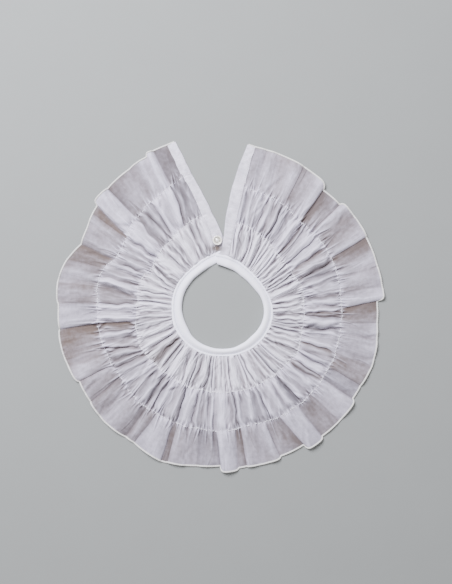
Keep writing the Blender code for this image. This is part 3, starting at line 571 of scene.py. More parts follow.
def lap_lift(bearing, radius):
    """Height by which the right end is raised where it lies on the left end."""
    return LAP_LIFT * (1.0 - ease(*RAISED_BEARINGS, bearing)) * (1.0 - ease(*RAISED_RADII, radius))


def binding_height(bearing):
    """Height of the binding's roll above its own base."""
    raised = mix(LAP_TOP_HEIGHT, BINDING_HEIGHT, ease(*BINDING_FILLING, bearing))
    return mix(raised, LAP_HEIGHT, ease(*BINDING_FLATTENING, bearing))


def turned_edge(placket, inner_ring, outer_ring, shares):
    """Bearings of a placket's turned edge at each ring of a tier."""
    bearing = np.full(len(shares), placket[2, TURN])
    for _ in range(4):
        radius = mix(ring(inner_ring, bearing), ring(outer_ring, bearing), shares)
        bearing = placket_bearing(placket, TURN, radius)
    return bearing


def through(start, middle, end, shares):
    """Values at each share on the parabola through a start, a middle and an end."""
    start, middle, end = (np.asarray(value, float)[:, None] for value in (start, middle, end))
    bow = middle - (start + end) / 2.0
    return mix(start, end, shares) + bow * 4.0 * shares * (1.0 - shares)


def wander(draw, count, shares, knots, size):
    """Smooth random curves over the shares, one for each of count lines, within -size to size."""
    places = np.linspace(0.0, 1.0, knots)
    values = draw.uniform(-size, size, (count, knots))
    near = np.clip((shares * (knots - 1)).astype(int), 0, knots - 2)
    part = ease(places[near], places[near + 1], shares)
    return mix(values[:, near], values[:, near + 1], part)


def wave(draw, shares, knots, size=1.0):
    """One such curve."""
    return wander(draw, 1, shares, knots, size)[0]


def value_noise(draw, across, along, cells_across, cells_along):
    """Smooth noise, -1 to 1, at points whose place is given as shares across and along a sheet."""
    lattice = draw.uniform(-1.0, 1.0, (cells_across + 2, cells_along + 2))
    x = np.clip(across, 0.0, 1.0) * cells_across
    y = np.clip(along, 0.0, 1.0) * cells_along
    i = x.astype(int)
    j = y.astype(int)
    u = (x - i) ** 2 * (3.0 - 2.0 * (x - i))
    v = (y - j) ** 2 * (3.0 - 2.0 * (y - j))
    low = mix(lattice[i, j], lattice[i + 1, j], u)
    high = mix(lattice[i, j + 1], lattice[i + 1, j + 1], u)
    return mix(low, high, v)


def gather_table(creases, tones, draw):
    """Rows and tones for every single gather, with the weaker creases between the listed ones
    filled in."""
    rows = []
    shades = []
    ends = creases[1:] + (None,)
    for gather, after, tone in zip(creases, ends, tones):
        count = gather[GATHERS]
        for part in range(count):
            shades.append(tone)
            if part == 0 or after is None:
                rows.append(list(gather))
                continue
            share = (part + draw.uniform(-0.15, 0.15)) / count
            extra = [mix(gather[column], after[column], share)
                     for column in (INSIDE, MIDWAY, OUTSIDE)]
            extra += [1, gather[HEIGHT] * draw.uniform(0.8, 1.15), draw.uniform(3, 7), gather[LEAN]]
            rows.append(extra)
    return np.array(rows, float), shades


def arch_over(step, crest, sharp, soft):
    """Height, as a share of the fold's, over one fold. The longer side starts low and flat."""
    rising = step < crest
    side = np.where(rising, crest, 1.0 - crest)
    along = np.where(rising, step / crest, (1.0 - step) / (1.0 - crest))
    steep = mix(SOFT_POWER, ARCH_POWER, soft**2)
    power = np.clip(steep + LONG_SIDE * (side - 0.5), 0.55, 3.2)
    smooth = np.sin(math.pi / 2.0 * along)
    pressed = along ** 0.85
    return np.clip(mix(smooth, pressed, sharp), 0.0, 1.0) ** power


def cloth_columns(lines, heights, depths, shape, counts, radii, opening, roundness):
    """Columns of points over the folds that lie between valley lines.

    lines, depths: a row for each valley, with its bearing and its depth (0 to 1) at each ring.
    heights: a row for each fold, with its height at each ring.
    shape: a row for each fold: crest's share, lean, reach of its first and of its last edge, how
    sharply its crest is pressed.
    radii: radius of each ring. opening: how far a fold is free to lean at each ring.
    Gives bearings and heights, and each column's fold and share of the fold."""
    last = len(heights) - 1
    valley = np.empty_like(lines)
    for index in range(len(lines)):
        near = heights[max(index - 1, 0)]
        far = heights[min(index, last)]
        valley[index] = (1.0 - depths[index]) * VALLEY_SHARE * np.minimum(near, far)
    bearings = []
    levels = []
    folds = []
    for index, count in enumerate(counts):
        crest, lean, over_start, over_end, sharp = shape[index]
        step = (np.arange(count) / count)[:, None]
        across = step
        soft = mix(depths[index], depths[index + 1], step)
        arch = arch_over(step, crest, sharp, soft)
        base = mix(valley[index], valley[index + 1], step)
        level = base + (heights[index] - base) * arch
        closing = roundness * soft**3 * opening
        across = across - closing * np.sin(2.0 * math.pi * step) / (2.0 * math.pi)
        side = ease(0.15, 0.85, step)
        out = lean + over_end * side - over_start * (1.0 - side)
        shift = np.degrees(out * opening * level / np.maximum(heights[index], 0.5) / radii)
        bearings.append(mix(lines[index], lines[index + 1], across) + shift)
        levels.append(level)
        folds.append(np.stack([np.full(count, index), step[:, 0]], axis=1))
    bearings.append(lines[-1][None, :])
    levels.append(valley[-1][None, :])
    folds.append(np.array([[last, 1.0]]))
    return np.concatenate(bearings), np.concatenate(levels), np.concatenate(folds)


def spread_counts(lines, total):
    """Columns for each fold, by its width half way, so that they come to about a total."""
    width = np.diff(lines[:, lines.shape[1] // 2])
    return np.maximum(np.round(width / width.sum() * total).astype(int), 8)


class Puckers:
    """Small ridges that a row of shirring raises in the cloth on both sides of its thread."""

    def __init__(self, draw, radius, pitch, height, shortest, longest):
        self.per_degree = math.radians(radius) / pitch
        count = int(380.0 * self.per_degree) + 4
        self.height = height * draw.uniform(0.1, 1.0, count) ** 1.2
        self.length = mix(shortest, longest, draw.uniform(0.0, 1.0, (2, count)) ** 2.5)
        self.slant = draw.uniform(-0.05, 0.05, (2, int(count // PUCKER_GROUP) + 3))
        self.phase = draw.uniform(0.0, 2.0 * math.pi, 3)

    def rise(self, bearing, distance, side):
        """Height at a bearing and a distance from the row, on its inner (0) or outer (1) side."""
        turn = np.radians(bearing)
        warp = sum(0.35 * np.sin(turn * rate + phase)
                   for rate, phase in zip(PUCKER_WARPS, self.phase))
        place = (bearing + 12.0) * self.per_degree + warp
        group = np.clip((place / PUCKER_GROUP).astype(int), 0, self.slant.shape[1] - 2)
        slant = mix(self.slant[side][group], self.slant[side][group + 1],
                    place / PUCKER_GROUP - group)
        place = np.clip(place + slant * distance, 0.0, len(self.height) - 2.0)
        cell = place.astype(int)
        ridge = np.sin(math.pi * (place - cell)) ** 1.3
        return self.height[cell] * ridge * np.exp(-((distance / self.length[side][cell]) ** 1.5))


def band_shares(count):
    """Shares across a tier, closer together near its edges."""
    step = np.linspace(0.0, 1.0, count)
    return step - 0.45 * np.sin(2.0 * math.pi * step) / (2.0 * math.pi)


def swell(distance, keep):
    """Share of its height that a fold has at a distance from a ring where it keeps only some."""
    return mix(keep, 1.0, np.sin(math.pi / 2.0 * np.clip(distance / FOLD_RISE, 0.0, 1.0)))


def crease_depths(draw, strengths, distance_in, distance_out, shares, calm):
    """Depth of each valley at each ring. Weak ones fade out towards one end, and all of them fade by
    a share, calm, next to the inner ring."""
    count = len(strengths)
    strong = np.asarray(strengths, float)[:, None] / 9.0
    towards = draw.choice((-1.0, 1.0), count)[:, None]
    fade = np.clip(0.5 + towards * (shares - 0.5) * 1.6, 0.0, 1.0)
    depth = strong * mix(fade, 1.0, strong**5)
    depth *= 1.0 - 0.55 * np.clip(wander(draw, count, shares, 5, 1.3), 0.0, 1.0)
    depth += wander(draw, count, shares, 6, 0.15)
    depth *= 1.0 - calm * draw.uniform(0.3, 1.0, (count, 1)) * bell(distance_in / 10.0)
    pinch_in = 0.75 * (1.0 - 0.5 * calm) * bell(distance_in / 4.0)
    pinch_out = 0.75 * bell(distance_out / 4.0)
    return np.clip(np.maximum(depth, np.maximum(pinch_in, pinch_out)), 0.0, 1.0)


class Tier:
    """Grid of cloth between two rings: bearings, radii and heights by column and band."""

    def __init__(self, name, bearing, radius, height, folds, tones):
        self.name = name
        self.bearing = bearing
        self.radius = radius
        self.height = height
        self.middles = bearing.mean(axis=1)
        self.gathered = np.zeros_like(radius)
        # Tones from the tables: partly the layers beneath showing through, partly painted shade and
        # painted light.
        tones = np.asarray(tones, float) / 9.0
        fold = folds[:, 0].astype(int)
        tone = mix(tones[fold, TONE_START], tones[fold, TONE_END], ease(0.1, 0.9, folds[:, 1]))
        self.tone = tone[:, None] + 0.0 * radius
        self.warmth = tones[fold, WARMTH][:, None] + 0.0 * radius

    def settle(self, band, heights):
        """Bring the heights along one edge band to a row's, and fade out from it."""
        change = np.interp(self.bearing[:, band], ROW_BEARINGS, heights) - self.height[:, band]
        away = np.abs(self.radius - self.radius[:, band][:, None])
        self.height += change[:, None] * bell(away / ROW_SETTLING)

    def pucker(self, puckers, band, side):
        """Raise the puckers of the row that lies along an edge band, and record how near each point
        lies to that row.
        """
        away = np.abs(self.radius - self.radius[:, band][:, None])
        self.height += puckers.rise(self.bearing, away, side)
        self.gathered = np.maximum(self.gathered, bell(away / GROOVE_REACH))

    def sew_under(self, borders):
        """Keep the cloth below a border that covers its inner edge band, whose height is given for
        each column. Further out it may rise."""
        out = np.clip(self.radius - self.radius[:, :1] - NECK_INSET + 0.2, 0.0, None)
        self.height = np.minimum(self.height, borders[:, None] + NECK_SLOPE * out)

    def places(self):
        """Share round the tier and share across it of every point."""
        columns, bands = self.bearing.shape
        return np.meshgrid(np.linspace(0.0, 1.0, columns), np.linspace(0.0, 1.0, bands),
                           indexing="ij")

    def mottle(self, draw):
        """Uneven tone, where more or fewer layers lie under the cloth."""
        across, along = self.places()
        for cells_across, cells_along, size in TONE_PATCHES:
            self.tone += size * value_noise(draw, across, along, cells_across, cells_along)
        self.warmth += 0.25 * value_noise(draw, across, along, 80, 2)


def gathered_tier(name, creases, tones, inner_ring, outer_ring, keeps, inset, calm, draw):
    """Tier between two gathered rings."""
    shares = band_shares(BANDS)
    rows, tones = gather_table(creases, tones, draw)
    lines = through(rows[:, INSIDE], rows[:, MIDWAY], rows[:, OUTSIDE], shares)
    first = turned_edge(PLACKET_RIGHT, inner_ring, outer_ring, shares)
    last = turned_edge(PLACKET_LEFT, inner_ring, outer_ring, shares)
    inner = ring(inner_ring, MIDDLE_BEARING)
    outer = ring(outer_ring, MIDDLE_BEARING)
    radii = mix(inner, outer, shares)
    tuck = np.degrees(TUCK / radii)
    lines[0] = first - tuck
    lines = np.vstack([lines, (last + tuck)[None, :]])
    room = np.minimum(np.diff(lines, axis=0)[:-1], np.diff(lines, axis=0)[1:])
    lines[1:-1] += np.clip(room, 0.0, WANDERING_ROOM) * wander(draw, len(room), shares, 5, 0.17)
    distance_in = radii - inner
    distance_out = outer - radii
    size = swell(distance_in, keeps[0]) * swell(distance_out, keeps[1])
    heights = rows[:, HEIGHT][:, None] * size * (1.0 + wander(draw, len(rows), shares, 5, 0.14))
    strengths = np.append(rows[:, DEPTH], 9)
    depths = crease_depths(draw, strengths, distance_in, distance_out, shares, calm)
    shape = [(draw.uniform(0.3, 0.7), gather[LEAN] + draw.uniform(-0.7, 0.7), 0.0, 0.0,
              draw.uniform(0.0, 0.8)) for gather in rows]
    opening = mix(0.3, 1.0, ease(0.0, 9.0, np.minimum(distance_in, distance_out)))
    counts = spread_counts(lines, COLUMNS)
    bearing, height, folds = cloth_columns(lines, heights, depths, shape, counts, radii, opening,
                                           ROUNDNESS)
    low = row(inner_ring, bearing) - inset
    radius = mix(low, row(outer_ring, bearing), shares)
    return Tier(name, bearing, radius, height, folds, tones)


def outer_tier(name, draw):
    """Tier that hangs free from the second row, its pleats lying over each other at the hem."""
    shares = band_shares(BANDS)
    rows = np.array(OUTER_FOLDS)
    count = len(rows)
    starts = np.vstack([rows[:, [ROW_START, HEM_START]], (0.0, 0.0)])
    for end, placket, reach in ((0, PLACKET_RIGHT, rows[0, REACH_START]),
                                (-1, PLACKET_LEFT, rows[-1, REACH_END])):
        at_row = turned_edge(placket, ROW_2, ROW_2, np.zeros(1))[0]
        starts[end] = (at_row, placket_bearing(placket, TURN, reach))
    starts[0] -= np.degrees(TUCK / RIGHT_TURN_RADII)
    starts[-1] += np.degrees(TUCK / LEFT_TURN_RADII)
    radii = mix(*FREE_RADII, shares)
    opening = mix(0.15, 1.0, ease(0.0, 26.0, radii - FREE_RADII[0]))
    lines = mix(starts[:, :1], starts[:, 1:], shares)
    inward = np.zeros(count + 1)
    over_start = rows[:, OVER_START] * OVER_KEEP
    over_end = rows[:, OVER_END] * OVER_KEEP
    inward[:-1] += over_start
    inward[1:] -= over_end
    lines += np.degrees(inward[:, None] * opening / radii)
    lines[1:-1] += wander(draw, count - 1, shares, 4, 0.25) * (1.0 - shares * 0.8)
    size = swell(radii - FREE_RADII[0], FREE_KEEP)
    lowered = rows[:, RISE] * OUTER_KEEP
    heights = lowered[:, None] * size * (1.0 + wander(draw, count, shares, 4, 0.08))
    strong = np.append(rows[:, CREASE], 9)[:, None] / 9.0
    depths = np.clip(strong + wander(draw, count + 1, shares, 4, 0.08), 0.0, 1.0)
    depths = np.maximum(depths, 0.8 * bell((radii - FREE_RADII[0]) / 6.0))
    pressed = draw.uniform(0.0, 0.6, count)
    shape = np.stack([rows[:, CREST], np.zeros(count), over_start, over_end, pressed], axis=1)
    counts = spread_counts(lines, COLUMNS)
    bearing, height, folds = cloth_columns(lines, heights, depths, shape, counts, radii, opening,
                                           OUTER_ROUNDNESS)
    fold = folds[:, 0].astype(int)
    part = folds[:, 1]
    reach = mix(rows[fold, REACH_START], rows[fold, REACH_END], part)
    joint = np.minimum(rows[:-1, REACH_END], rows[1:, REACH_START])
    before = np.append(rows[0, REACH_START], joint)
    after = np.append(joint, rows[-1, REACH_END])
    drop_start = rows[:, REACH_START] - before
    drop_end = rows[:, REACH_END] - after
    low = (1.0 - np.sin(math.pi * part) ** ARCH_POWER) ** 2
    reach -= low * np.where(part < rows[fold, CREST], drop_start[fold], drop_end[fold])
    outer = reach - HEM_WIDTH / 2.0
    radius = mix(row(ROW_2, bearing), outer[:, None], shares)
    return Tier(name, bearing, radius, height, folds, OUTER_TONES)


def share_row(inside, outside, radius, draw):
    """Give two tiers the same profile and puckers along their row. Gives that row's heights."""
    profiles = []
    for tier, band in ((inside, -1), (outside, 0)):
        order = np.argsort(tier.bearing[:, band])
        profiles.append(np.interp(ROW_BEARINGS, tier.bearing[order, band],
                                  tier.height[order, band]))
    heights = (profiles[0] + profiles[1]) / 2.0
    inside.settle(-1, heights)
    outside.settle(0, heights)
    for kind in PUCKERS:
        puckers = Puckers(draw, radius, *kind)
        inside.pucker(puckers, -1, 0)
        outside.pucker(puckers, 0, 1)
        heights = heights + puckers.rise(ROW_BEARINGS, 0.0 * ROW_BEARINGS, 0)
    return heights


def ridges(draw, across, along, cells_across, cells_along, warp):
    """Noise with crisp crests, 0 to 1, whose crests wander across the sheet instead of running along
    its grid."""
    bend = value_noise(draw, across, along, max(cells_across // 6, 2), cells_along + 1)
    bent = across + warp / cells_across * bend + 0.5 / cells_across * (along - 0.5)
    bent = np.clip(bent, 0.0, 1.0)
    return 1.0 - 2.0 * np.abs(value_noise(draw, bent, along, cells_across, cells_along))


def roughen(tier, draw, size):
    """Crumples of the cloth: crisp small creases that run roughly with the folds, and a slow
    unevenness across them."""
    across, along = tier.places()
    for cells_across, cells_along, warp, height in CRUMPLES:
        tier.height += size * height * ridges(draw, across, along, cells_across, cells_along, warp)
    tier.height += size * 0.4 * value_noise(draw, across, along, 90, 3)


def crease(tier, draw, count, depth, lengths, slant, wide):
    """Single creases pressed at random into the folds: a line with a low ridge along one side."""
    for _ in range(count):
        middle = draw.uniform(tier.bearing.min(), tier.bearing.max())
        band = draw.integers(2, tier.bearing.shape[1] - 3)
        radius = tier.radius[0, band]
        half = draw.uniform(*lengths) / 2.0
        slope = draw.uniform(-slant, slant)
        bow = draw.uniform(-0.012, 0.012)
        press = depth * draw.uniform(0.3, 1.0)
        side = draw.choice((-1.0, 1.0))
        near = np.abs(tier.middles - middle) < NEAR
        out = tier.radius[near] - radius
        place = np.radians(tier.bearing[near] - middle) * tier.radius[near]
        place = place - slope * out - bow * out**2
        window = np.clip(1.0 - (out / half) ** 2, 0.0, 1.0)
        place = place / wide
        line = -bell(place / 0.8) + 0.7 * bell((place - side * 1.7) / 1.1)
        tier.height[near] += press * window * line


def wedges(tier, draw, band, count, lengths, depth):
    """Pointed creases that start in the gathers along an edge band and run out into the folds."""
    outwards = 1.0 if band == 0 else -1.0
    for _ in range(count):
        middle = draw.uniform(tier.bearing.min(), tier.bearing.max())
        length = mix(*lengths, draw.uniform() ** 2.2)
        slope = draw.uniform(-0.2, 0.2)
        side = draw.choice((-1.0, 1.0))
        press = depth * draw.uniform(0.35, 1.0)
        wide = draw.uniform(0.7, 1.7)
        near = np.abs(tier.middles - middle) < NEAR
        edge = tier.radius[near, band][:, None]
        out = (tier.radius[near] - edge) * outwards
        place = np.radians(tier.bearing[near] - middle) * edge - slope * out
        left = np.clip(1.0 - out / length, 0.0, 1.0)
        width = 0.3 + wide * left
        line = -bell(place / width)
        line += 0.8 * bell((place - side * 1.9 * width) / width)
        tier.height[near] += press * left**0.8 * line


def positions(bearing, radius, height):
    """Points in metres from bearings, radii and heights."""
    angle = np.radians(bearing)
    x = NECK_CENTRE[0] + radius * np.sin(angle)
    y = NECK_CENTRE[1] + radius * np.cos(angle)
    return np.stack([x, y, height], axis=-1) * MM


def placed(name, data):
    """Object in the scene for a mesh, a light or a camera."""
    piece = bpy.data.objects.new(name, data)
    bpy.context.scene.collection.objects.link(piece)
    return piece


def new_mesh(name, points, faces, material, uv=None):
    """Object with a smooth mesh, and a place on the cloth for each of its points."""
    mesh = bpy.data.meshes.new(name)
    mesh.from_pydata(points.reshape(-1, 3).tolist(), [], faces)
    if uv is not None:
        layer = mesh.uv_layers.new(name="cloth")
        corners = np.empty(len(mesh.loops), np.int32)
        mesh.loops.foreach_get("vertex_index", corners)
        layer.data.foreach_set("uv", uv.reshape(-1, 2)[corners].astype(np.float32).ravel())
    mesh.polygons.foreach_set("use_smooth", [True] * len(mesh.polygons))
    mesh.materials.append(material)
    return placed(name, mesh)


def grid_faces(columns, bands, closed_bands=False):
    """Quads of a grid of points, by column and band, as indices."""
    column = np.arange(columns - 1)[:, None]
    band = np.arange(bands if closed_bands else bands - 1)[None, :]
    after = (band + 1) % bands
    corners = (column * bands + band, column * bands + after, (column + 1) * bands + after,
               (column + 1) * bands + band)
    return np.stack([corner.ravel() for corner in corners], axis=1)


def tube_faces(rings, sides):
    """Faces of a closed tube: quads between its rings, and its two ends."""
    ends = [list(range(sides))[::-1], list(range((rings - 1) * sides, rings * sides))]
    return grid_faces(rings, sides, True).tolist() + ends


def turned_over(faces):
    """The same faces with their other side up."""
    return [face[::-1] for face in faces]


def blurred(values, lengths, width):
    """Each band's values along the columns, smoothed over a width in millimetres."""
    grid = np.arange(0.0, lengths[-1], 0.5)
    reach = int(width / 0.5)
    kernel = np.exp(-0.5 * (np.arange(-3 * reach, 3 * reach + 1) / reach) ** 2)
    kernel /= kernel.sum()
    smooth = np.empty_like(values)
    for band in range(values.shape[1]):
        even = np.interp(grid, lengths, values[:, band])
        padded = np.pad(even, 3 * reach, mode="edge")
        smooth[:, band] = np.interp(lengths, grid, np.convolve(padded, kernel, mode="valid"))
    return smooth


def add_attributes(piece, **values):
    """Numbers for each point of a piece, for its material."""
    for name, numbers in values.items():
        layer = piece.data.attributes.new(name, "FLOAT", "POINT")
        layer.data.foreach_set("value", np.asarray(numbers, np.float32).ravel())


def button_shade(points):
    """How far cloth is in the brownish shade below the button, at points in millimetres."""
    away = (points[..., :2] - NECK_CENTRE - BUTTON_SHADE[0]) / BUTTON_SHADE[1]
    return np.exp(-(away**2).sum(axis=-1))


def tier_piece(tier, material):
    """Cloth of a tier as an object."""
    level = CLOTH_BASE + tier.height + lap_lift(tier.bearing, tier.radius)
    level = np.maximum(level, LOWEST_CLOTH)
    points = positions(tier.bearing, tier.radius, level)
    columns, bands = level.shape
    lengths = distances(points[:, bands // 2] / MM)
    uv = np.stack(np.broadcast_arrays(lengths[:, None], tier.radius), axis=-1)
    faces = turned_over(grid_faces(columns, bands).tolist())
    piece = new_mesh(tier.name, points, faces, material, uv)
    # relief and hollow drive painted shade in creases and hollows and a painted highlight on ridges;
    # shaded adds the painted brownish shade below the button.
    shaded = button_shade(points / MM)
    add_attributes(piece,
                   relief=level - blurred(level, lengths, 3.0),
                   hollow=level - blurred(level, lengths, 8.0),
                   tone=blurred(tier.tone, lengths, 0.8) - shaded,
                   warmth=blurred(tier.warmth, lengths, 1.5) + 1.4 * shaded,
                   gathered=tier.gathered)
    return piece


def frames(line):
    """Sideways and upward direction at each point of a line, without sudden turns."""
    tangents = unit(np.gradient(line, axis=0))
    sides = np.empty_like(tangents)
    side = np.cross(tangents[0], (0.0, 0.0, 1.0))
    for index, tangent in enumerate(tangents):
        level = np.cross(tangent, (0.0, 0.0, 1.0))
        weight = np.linalg.norm(level)
        side = side - tangent * np.dot(side, tangent)
        side /= np.linalg.norm(side)
        if weight > 0.2:
            level /= weight
            if np.dot(level, side) < 0.0:
                level = -level
            side = side + 0.1 * weight * level
            side -= tangent * np.dot(side, tangent)
            side /= np.linalg.norm(side)
        sides[index] = side
    return sides, np.cross(sides, tangents)


def tube(name, line, widths, heights, material):
    """Closed tube round a line, from its half sizes at each point of the line and each turn."""
    side, up = (direction[:, None, :] for direction in frames(line))
    sides = widths.shape[1]
    turn = turns(sides)
    points = (line[:, None, :] + (widths * np.cos(turn))[:, :, None] * side
              + (heights * np.sin(turn))[:, :, None] * up)
    around = turn / (2.0 * math.pi) * 6.0
    uv = np.stack(np.broadcast_arrays(distances(line)[:, None], around), axis=-1)
    return new_mesh(name, points * MM, tube_faces(len(line), sides), material, uv)


def hem_line(tier):
    """Points in millimetres along the outer tier's edge and over the plackets' ends."""
    level = np.maximum(CLOTH_BASE + tier.height[:, -1], LOWEST_CLOTH)
    edge = positions(tier.bearing[:, -1], tier.radius[:, -1], level) / MM
    shares = np.linspace(0.0, 1.0, 24)[:-1]
    ends = []
    for table, corner, reach in zip((PLACKET_RIGHT, PLACKET_LEFT), HEM_CORNERS, HEM_TURNS):
        cut = placket_bearing(table, END, corner)
        turn = placket_bearing(table, TURN, reach)
        inset = math.copysign(math.degrees(0.8 / corner), turn - cut)
        bearing = mix(cut + inset, turn, shares)
        radius = mix(corner, reach, shares) - HEM_WIDTH / 2.0
        ends.append(positions(bearing, radius, PLACKET_THICKNESS * 0.6 + 0.0 * shares) / MM)
    start, end = ends
    return smoothed(np.vstack([start, edge[HEM_TRIM:-HEM_TRIM], end[::-1]]), (1,) * 5)


def rolled_hem(name, tier, material, draw):
    """Overlocked edge: a narrow roll wrapped in thread, which draws it in at each stitch."""
    line, at = resampled(hem_line(tier), HEM_STEP)
    count = int(at[-1] / HEM_UNEVENNESS) + 2
    uneven = np.interp(at, np.linspace(0.0, at[-1], count), draw.uniform(-1.0, 1.0, count))[:, None]
    wraps = np.sin(2.0 * math.pi * at[:, None] / HEM_WRAP + turns(HEM_SIDES))
    scallop = np.abs(np.sin(math.pi * at / HEM_SCALLOP))[:, None]
    width, height = (size / 2.0 * (plain + varying * uneven + swelling * scallop + 0.05 * wraps)
                     for size, plain, varying, swelling in HEM_GIRTH)
    line[:, 2] = np.maximum(line[:, 2], HEM_HEIGHT / 2.0 + 0.05)
    return tube(name, line, width, height, material)


def placket_piece(name, table, hem_radius, turn_radius, material, draw):
    """Turned end of the strip: two layers pressed flat, with soft edges. Gives the piece and its
    line of stitches."""
    rows, top, rim = 300, 26, 7
    along = np.linspace(0.0, 1.0, rows)
    across = np.linspace(0.0, 1.0, top)
    start = turned_edge(table, BINDING_OUTER, ROW_1, np.zeros(1))[0]
    edges = []
    for column, bearing, reach in ((END, table[0, END], hem_radius), (TURN, start, turn_radius)):
        radii = mix(ring(BINDING_OUTER, bearing) - 1.0, reach - HEM_INSET, along)
        bearings = placket_bearing(table, column, radii)
        edges.append((bearings, radii, positions(bearings, radii, 0.0 * along) / MM))
    (cut_bearing, cut_radius, cut), (_, _, turned) = edges
    width = np.linalg.norm(turned - cut, axis=1)[:, None]
    direction = (turned - cut) / width
    waver = mix(wave(draw, along, 16, 0.35)[:, None], wave(draw, along, 22, 0.5)[:, None], across)
    plane = cut[:, None, :] + (turned - cut)[:, None, :] * across[None, :, None]
    plane += direction[:, None, :] * waver[:, :, None]
    from_cut = across * width
    from_turn = width - from_cut
    surface = 1.35 - 0.55 * np.exp(-((np.minimum(from_cut, from_turn) / 0.5) ** 1.5))
    places = np.broadcast_arrays(along[:, None], across)
    for cells_along, cells_across, size in PLACKET_CRUMPLES:
        surface += size * value_noise(draw, *places, cells_along, cells_across)
    surface -= 0.28 * bell((from_turn - PLACKET_STITCHES) / 0.5)
    for radius in PLACKET_CREASES[name]:
        away = (cut_radius - radius)[:, None]
        surface += 0.7 * bell(away / 1.2) * ease(0.25, 1.0, across)
        surface -= 0.45 * bell((away - 2.6) / 1.2) * ease(0.2, 1.0, across)
    base = LOWEST_CLOTH + lap_lift(cut_bearing, cut_radius)[:, None]
    upper, lower = plane.copy(), plane
    upper[:, :, 2] = base + surface
    lower[:, :, 2] = base
    lower[:, 0] += direction * 0.15
    lower[:, -1] -= direction * 0.15
    lower = lower[:, ::-1][:, :: top // rim]
    section = np.concatenate([upper, lower], axis=1)
    count = section.shape[1]
    uv = np.stack(np.broadcast_arrays(np.arange(count) * 0.6, cut_radius[:, None]), axis=-1)
    piece = new_mesh(name, section * MM, turned_over(tube_faces(rows, count)), material, uv)
    # fold drives painted shade in the placket's creases; shaded is the painted brownish shade below
    # the button.
    fold = np.hstack([surface - 1.0, np.zeros((rows, count - top))])
    shaded = button_shade(section)
    add_attributes(piece, relief=fold, hollow=fold - 0.3, tone=0.88 - 1.15 * shaded,
                   warmth=1.4 * shaded, gathered=0.0 * fold)
    place = (1.0 - PLACKET_STITCHES / width[:, 0]) * (top - 1)
    seam = np.stack([[np.interp(at, np.arange(top), upper[index, :, axis])
                      for index, at in enumerate(place)] for axis in range(3)], axis=1)
    return piece, seam[8:-4]


def neck_binding(name, material, draw):
    """Bias strip folded round the neck edge: a full roll at the neck, and a flat border. Gives the
    piece and its line of stitches."""
    columns = 900
    bearing = np.linspace(BINDING_START, BINDING_END, columns)
    inner = ring(BINDING_INNER, bearing)
    outer = ring(BINDING_OUTER, bearing)
    base = LAP_LIFT * (1.0 - ease(*BINDING_DESCENT, bearing))
    section = np.array(BINDING_SECTION)
    steps = np.linspace(0.0, 1.0, len(section))
    fine = np.linspace(0.0, 1.0, 4 * (len(section) - 1) + 1)
    section = np.stack([np.interp(fine, steps, values) for values in section.T], axis=1)
    share, level = smoothed(section[:-1], (1, 2, 3, 2, 1), "wrap").T
    along = (bearing - BINDING_START) / (BINDING_END - BINDING_START)
    ripple = wave(draw, along, 160) + 0.6 * wave(draw, along, 330)
    slow = wave(draw, along, 24)
    edge = ease(0.75, 1.0, share)
    radius = mix(inner[:, None], outer[:, None], share)
    radius = radius + (0.28 * ripple + 0.3 * slow)[:, None] * edge
    radius = radius + 0.25 * wave(draw, along, 40)[:, None] * (1.0 - edge)
    border = bell((share - 0.82) / 0.12)
    height = base[:, None] + 0.15 + binding_height(bearing)[:, None] * level
    height = height + (level > 0.3) * (0.2 * ripple[:, None] * border + 0.12 * slow[:, None])
    points = positions(bearing[:, None], radius, height)
    lengths = np.concatenate([[0.0], np.cumsum(np.radians(np.diff(bearing)) * outer[:-1])])
    uv = np.stack(np.broadcast_arrays(lengths[:, None], share * 13.0), axis=-1)
    piece = new_mesh(name, points, turned_over(tube_faces(columns, len(share))), material, uv)
    # Painted shade in the stitched groove, and more faintly on the roll's slope just inside it.
    groove = -bell((share - GROOVE_SHARE) / 0.045)
    groove = (groove - 0.3 * bell((share - GROOVE_SHARE + 0.06) / 0.13)) * (level > 0.3)
    add_attributes(piece, relief=np.broadcast_to(groove, radius.shape))
    top_side = np.flatnonzero(level > 0.5)
    stitched = top_side[np.argmin(np.abs(share[top_side] - GROOVE_SHARE))]
    return piece, points[:, stitched] / MM


def stitching(name, groups, material):
    """Short bumps of thread, from groups of their centres, directions, lengths and radii."""
    centres, directions, lengths, radii = (np.concatenate(values) for values in zip(*groups))
    rings = np.array((-1.0, -0.82, -0.4, 0.4, 0.82, 1.0))
    girths = radii[:, None, None] * np.array((0.02, 0.62, 1.0, 1.0, 0.62, 0.02))[:, None]
    sides = 8
    turn = turns(sides)
    side = unit(np.cross(directions, (0.0, 0.0, 1.0)))
    up = np.cross(side, directions)
    points = (centres[:, None, None, :]
              + (rings[None, :, None] * lengths[:, None, None])[..., None] / 2.0
              * directions[:, None, None, :]
              + (girths * np.cos(turn))[..., None] * side[:, None, None, :]
              + (girths * np.sin(turn))[..., None] * up[:, None, None, :])
    points[..., 2] = np.maximum(points[..., 2], LOWEST_THREAD)
    last = (len(rings) - 1) * sides
    caps = [(3, 2, 1, 0), (7, 4, 3, 0), (7, 6, 5, 4)]
    caps += [tuple(last + corner for corner in cap[::-1]) for cap in caps]
    one = np.concatenate([grid_faces(len(rings), sides, True), caps])
    offsets = np.arange(len(centres)) * len(rings) * sides
    faces = (one + offsets[:, None, None]).reshape(-1, 4)
    return new_mesh(name, points * MM, faces.tolist(), material)


